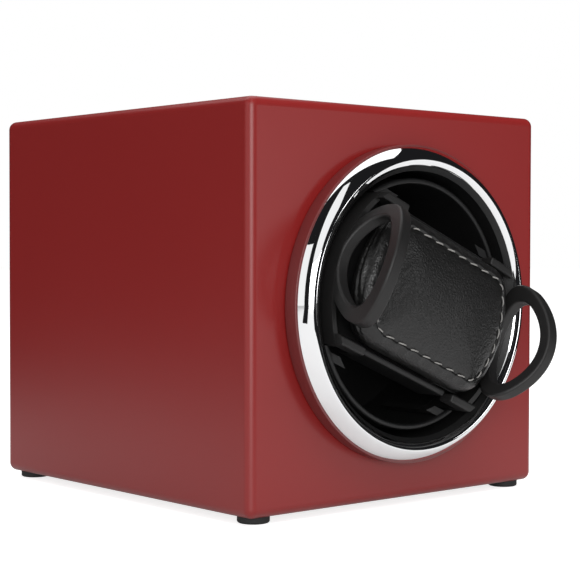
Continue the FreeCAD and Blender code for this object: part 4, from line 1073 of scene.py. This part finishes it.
@dataclass
class RearControls:
    """Two rotary switches with their knobs, and the power inlet."""

    switches: tuple[str, ...] = ("mode", "direction")

    def dress(self) -> None:
        """Finish the controls and the inlet."""
        for switch in self.switches:
            dress_all(Slot.BLACK_PLASTIC, f"{switch}_switch", f"{switch}_knob")
            dress_all(Slot.STEEL, f"{switch}_nut", f"{switch}_shaft")
        dress_all(Slot.BLACK_PLASTIC, "dc_jack")


@dataclass
class Electronics:
    """Circuit board with its posts and parts, and the wires."""

    wires: tuple[str, ...] = ("motor_leads", "jack_leads", "mode_leads", "link_leads")

    def dress(self) -> None:
        """Finish the board and the wires."""
        dress_all(Slot.BOARD_GREEN, "control_board")
        dress_all(Slot.PALE_PLASTIC, "board_standoffs")
        dress_all(Slot.STEEL, "board_screws")
        dress_all(Slot.BLACK_PLASTIC, "timer_chip", "board_capacitor")
        dress_all(Slot.TERMINAL_GREEN, "terminal_block")
        dress_all(Slot.RED_WIRE, *self.wires)


@dataclass(frozen=True)
class Softbox:
    """One oblong studio lamp, which reflections may show or not."""

    name: str
    place: Point
    width: float
    height: float
    power: float
    mirrored: bool = True

    def build(self, target: Vector) -> bpy.types.Object:
        """Hang the lamp so that it faces a point.

        Args:
            target: the point, in metres.

        Returns:
            The lamp.
        """
        light = bpy.data.lights.new(self.name, "AREA")
        light.shape = "RECTANGLE"
        light.size = self.width
        light.size_y = self.height
        light.energy = self.power
        lamp = put(self.name, light)
        lamp.location = self.place
        lamp.visible_glossy = self.mirrored
        lamp.rotation_euler = (target - lamp.location).to_track_quat("-Z", "Y").to_euler()
        return lamp


def hang_cloth(name: str, points: np.ndarray, finish: bpy.types.Material) -> bpy.types.Object:
    """Dark studio cloth that only reflections show.

    Args:
        name: name of the cloth.
        points: its points, in rows and columns.
        finish: its material.

    Returns:
        The cloth.
    """
    rows, columns = points.shape[:2]
    starts = [row * columns + step for row in range(rows - 1) for step in range(columns - 1)]
    faces = [(start, start + 1, start + columns + 1, start + columns) for start in starts]
    mesh = bare_mesh(name, points.reshape(-1, 3), faces)
    mesh.materials.append(finish)
    cloth = put(name, mesh)
    for rays in ("camera", "diffuse", "shadow", "transmission"):
        setattr(cloth, f"visible_{rays}", False)
    return cloth


@dataclass(frozen=True)
class Flag:
    """One dark cloth that hangs round the object as a patch of a dome, its azimuth turned from the front."""

    name: str
    azimuth: Pair
    elevation: Pair
    radius: float = 1.6
    columns: int = 25
    rows: int = 13

    def build(self, finish: bpy.types.Material) -> bpy.types.Object:
        """Hang the cloth.

        Args:
            finish: the cloth's material.

        Returns:
            The cloth.
        """
        turns = np.radians(np.linspace(*self.azimuth, self.columns))
        turn, rise = np.meshgrid(turns, np.radians(np.linspace(*self.elevation, self.rows)))
        points = np.stack([np.sin(turn) * np.cos(rise), -np.cos(turn) * np.cos(rise), np.sin(rise)], axis=2)
        return hang_cloth(self.name, points * self.radius, finish)


@dataclass(frozen=True)
class FloorCloth:
    """One dark cloth that lies on the floor some way from the object."""

    name: str
    azimuth: Pair
    near: float
    far: float = 1.6
    lift: float = 0.002
    columns: int = 49
    rows: int = 5

    def build(self, finish: bpy.types.Material) -> bpy.types.Object:
        """Lay the cloth.

        Args:
            finish: the cloth's material.

        Returns:
            The cloth.
        """
        turns = np.radians(np.linspace(*self.azimuth, self.columns))
        turn, reach = np.meshgrid(turns, np.linspace(self.near, self.far, self.rows))
        lift = np.full(turn.shape, self.lift)
        points = np.stack([np.sin(turn) * reach, -np.cos(turn) * reach, lift], axis=2)
        return hang_cloth(self.name, points, finish)


@dataclass
class Studio:
    """White floor and background, soft lamps, dark cloths and the camera."""

    camera_place: Point = (-0.33122, -0.38503, 0.07815)
    yaw: float = -40.917
    pitch: float = 1.608
    roll: float = 0.126
    lens: float = 96.0
    sensor_width: float = 36.0
    clip_start: float = 0.01
    target: Point = (0.0, -0.03, 0.06)
    floor_half: float = 4.0
    floor_tone: Tone = (0.55, 0.55, 0.55)
    floor_glow: float = 0.8
    floor_mirrored: float = 0.36
    light_tone: Tone = (0.5, 0.5, 0.505)
    cloth_tone: Tone = (0.012, 0.012, 0.013)
    lamps: tuple[Softbox, ...] = (
        Softbox("overhead_softbox", (0.12, -0.5, 1.05), 0.9, 0.7, 6.8, mirrored=False),
        Softbox("top_softbox", (0.11, 0.4, 1.11), 1.3, 1.05, 6.4),
        Softbox("near_softbox", (-0.8, -1.02, 0.3), 0.75, 0.6, 7.4),
        Softbox("front_softbox", (0.74, -1.2, 0.13), 0.36, 0.25, 0.98),
    )
    flags: tuple[Flag, ...] = (
        Flag("right_flag", (-26.0, 205.0), (-1.0, 60.0)),
        Flag("top_flag", (-26.0, 205.0), (60.0, 90.0)),
        Flag("upper_left_flag", (-56.0, -26.0), (78.0, 90.0)),
        Flag("side_flag", (-68.0, -56.0), (-1.0, 90.0)),
        Flag("upper_rear_flag", (-113.0, -68.0), (38.0, 90.0)),
        Flag("rear_flag", (-155.0, -113.0), (-1.0, 90.0)),
    )
    floor_cloths: tuple[FloorCloth, ...] = (
        FloorCloth("front_floor_cloth", (-26.0, 205.0), 0.34),
        FloorCloth("side_floor_cloth", (-68.0, -56.0), 0.34),
        FloorCloth("rear_floor_cloth", (-155.0, -113.0), 0.34),
    )

    def build(self) -> None:
        """Set up the floor, the background, the lamps, the cloths and the camera."""
        scene = bpy.context.scene
        scene.view_settings.view_transform = "Standard"
        self.build_floor()
        self.build_background()
        for lamp in self.lamps:
            lamp.build(Vector(self.target))
        dark = self.cloth_material()
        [cloth.build(dark) for cloth in (*self.flags, *self.floor_cloths)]
        self.build_camera()
        cloths = len(self.flags) + len(self.floor_cloths)
        LOG.info("studio: %d lamps, %d cloths", len(self.lamps), cloths)

    def seen_rays(self, sheet: Sheet, mirrored: float = 1.0) -> Socket:
        """Socket that tells rays that look at the background from rays that carry its light.

        Args:
            sheet: tree of the floor or the background.
            mirrored: value for rays that see it in a reflection.

        Returns:
            The socket, 1 for rays that see it directly or through glass and 0 for the light.
        """
        path = sheet.add("ShaderNodeLightPath").outputs
        mirror = sheet.math("MULTIPLY", path["Is Glossy Ray"], mirrored)
        direct = sheet.math("MAXIMUM", path["Is Camera Ray"], mirror)
        return sheet.math("MAXIMUM", direct, path["Is Transmission Ray"])

    def build_floor(self) -> None:
        """Lay a pale floor that reads white and keeps a faint shadow."""
        half = self.floor_half
        corners = np.array([(-half, -half, 0), (half, -half, 0), (half, half, 0), (-half, half, 0)])
        mesh = bare_mesh("floor", corners, [(0, 1, 2, 3)])
        material, sheet = new_material("pale_floor")
        matt = sheet.add("ShaderNodeBsdfDiffuse", {"Color": self.floor_tone})
        seen = self.seen_rays(sheet, self.floor_mirrored)
        strength = sheet.math("MULTIPLY", seen, self.floor_glow)
        glow = sheet.add("ShaderNodeEmission", {"Color": WHITE, "Strength": strength})
        both = sheet.add("ShaderNodeAddShader", {0: matt.outputs[0], 1: glow.outputs[0]})
        sheet.add("ShaderNodeOutputMaterial", {"Surface": both.outputs[0]})
        mesh.materials.append(material)
        floor = put("floor", mesh)

    def build_background(self) -> None:
        """Make the background white where it is seen and dimmer as light."""
        world = bpy.data.worlds.new("white_sweep")
        bpy.context.scene.world = world
        world.use_nodes = True
        sheet = Sheet(world.node_tree)
        light = sheet.add("ShaderNodeBackground", {"Color": self.light_tone, "Strength": 1.0})
        white = sheet.add("ShaderNodeBackground", {"Color": WHITE, "Strength": 1.0})
        values = {"Fac": self.seen_rays(sheet), 1: light.outputs[0], 2: white.outputs[0]}
        mixed = sheet.add("ShaderNodeMixShader", values)
        sheet.add("ShaderNodeOutputWorld", {"Surface": mixed.outputs[0]})

    def cloth_material(self) -> bpy.types.Material:
        """Make the material of the dark cloths.

        Returns:
            The material.
        """
        material, sheet = new_material("dark_cloth")
        matt = sheet.add("ShaderNodeEmission", {"Color": self.cloth_tone, "Strength": 1.0})
        sheet.add("ShaderNodeOutputMaterial", {"Surface": matt.outputs[0]})
        return material

    def build_camera(self) -> None:
        """Put the camera where the photograph was taken from."""
        yaw, pitch, roll = (math.radians(angle) for angle in (self.yaw, self.pitch, self.roll))
        level = Vector((-math.sin(yaw), math.cos(yaw), 0.0))
        across = Vector((math.cos(yaw), math.sin(yaw), 0.0))
        up = Vector((0.0, 0.0, 1.0))
        ahead = level * math.cos(pitch) - up * math.sin(pitch)
        rise = up * math.cos(pitch) + level * math.sin(pitch)
        right = across * math.cos(roll) + rise * math.sin(roll)
        top = rise * math.cos(roll) - across * math.sin(roll)
        lens = bpy.data.cameras.new("photo_camera")
        lens.lens = self.lens
        lens.sensor_width = self.sensor_width
        lens.clip_start = self.clip_start
        camera = put("photo_camera", lens)
        turned = Matrix((right, top, -ahead)).transposed().to_4x4()
        camera.matrix_world = Matrix.Translation(self.camera_place) @ turned
        bpy.context.scene.camera = camera


def main() -> None:
    """Dress the frame and build the pieces over it."""
    logging.basicConfig(level=logging.INFO, format="%(name)s %(message)s")
    Studio().build()
    Case().dress()
    FrontRing().build()
    BrightRim().build()
    Drum().dress()
    holder = WatchHolder()
    holder.dress()
    holder.build_cover()
    holder.build_stitching()
    Drive().dress()
    RearControls().dress()
    Electronics().dress()


if __name__ == "__main__":
    main()
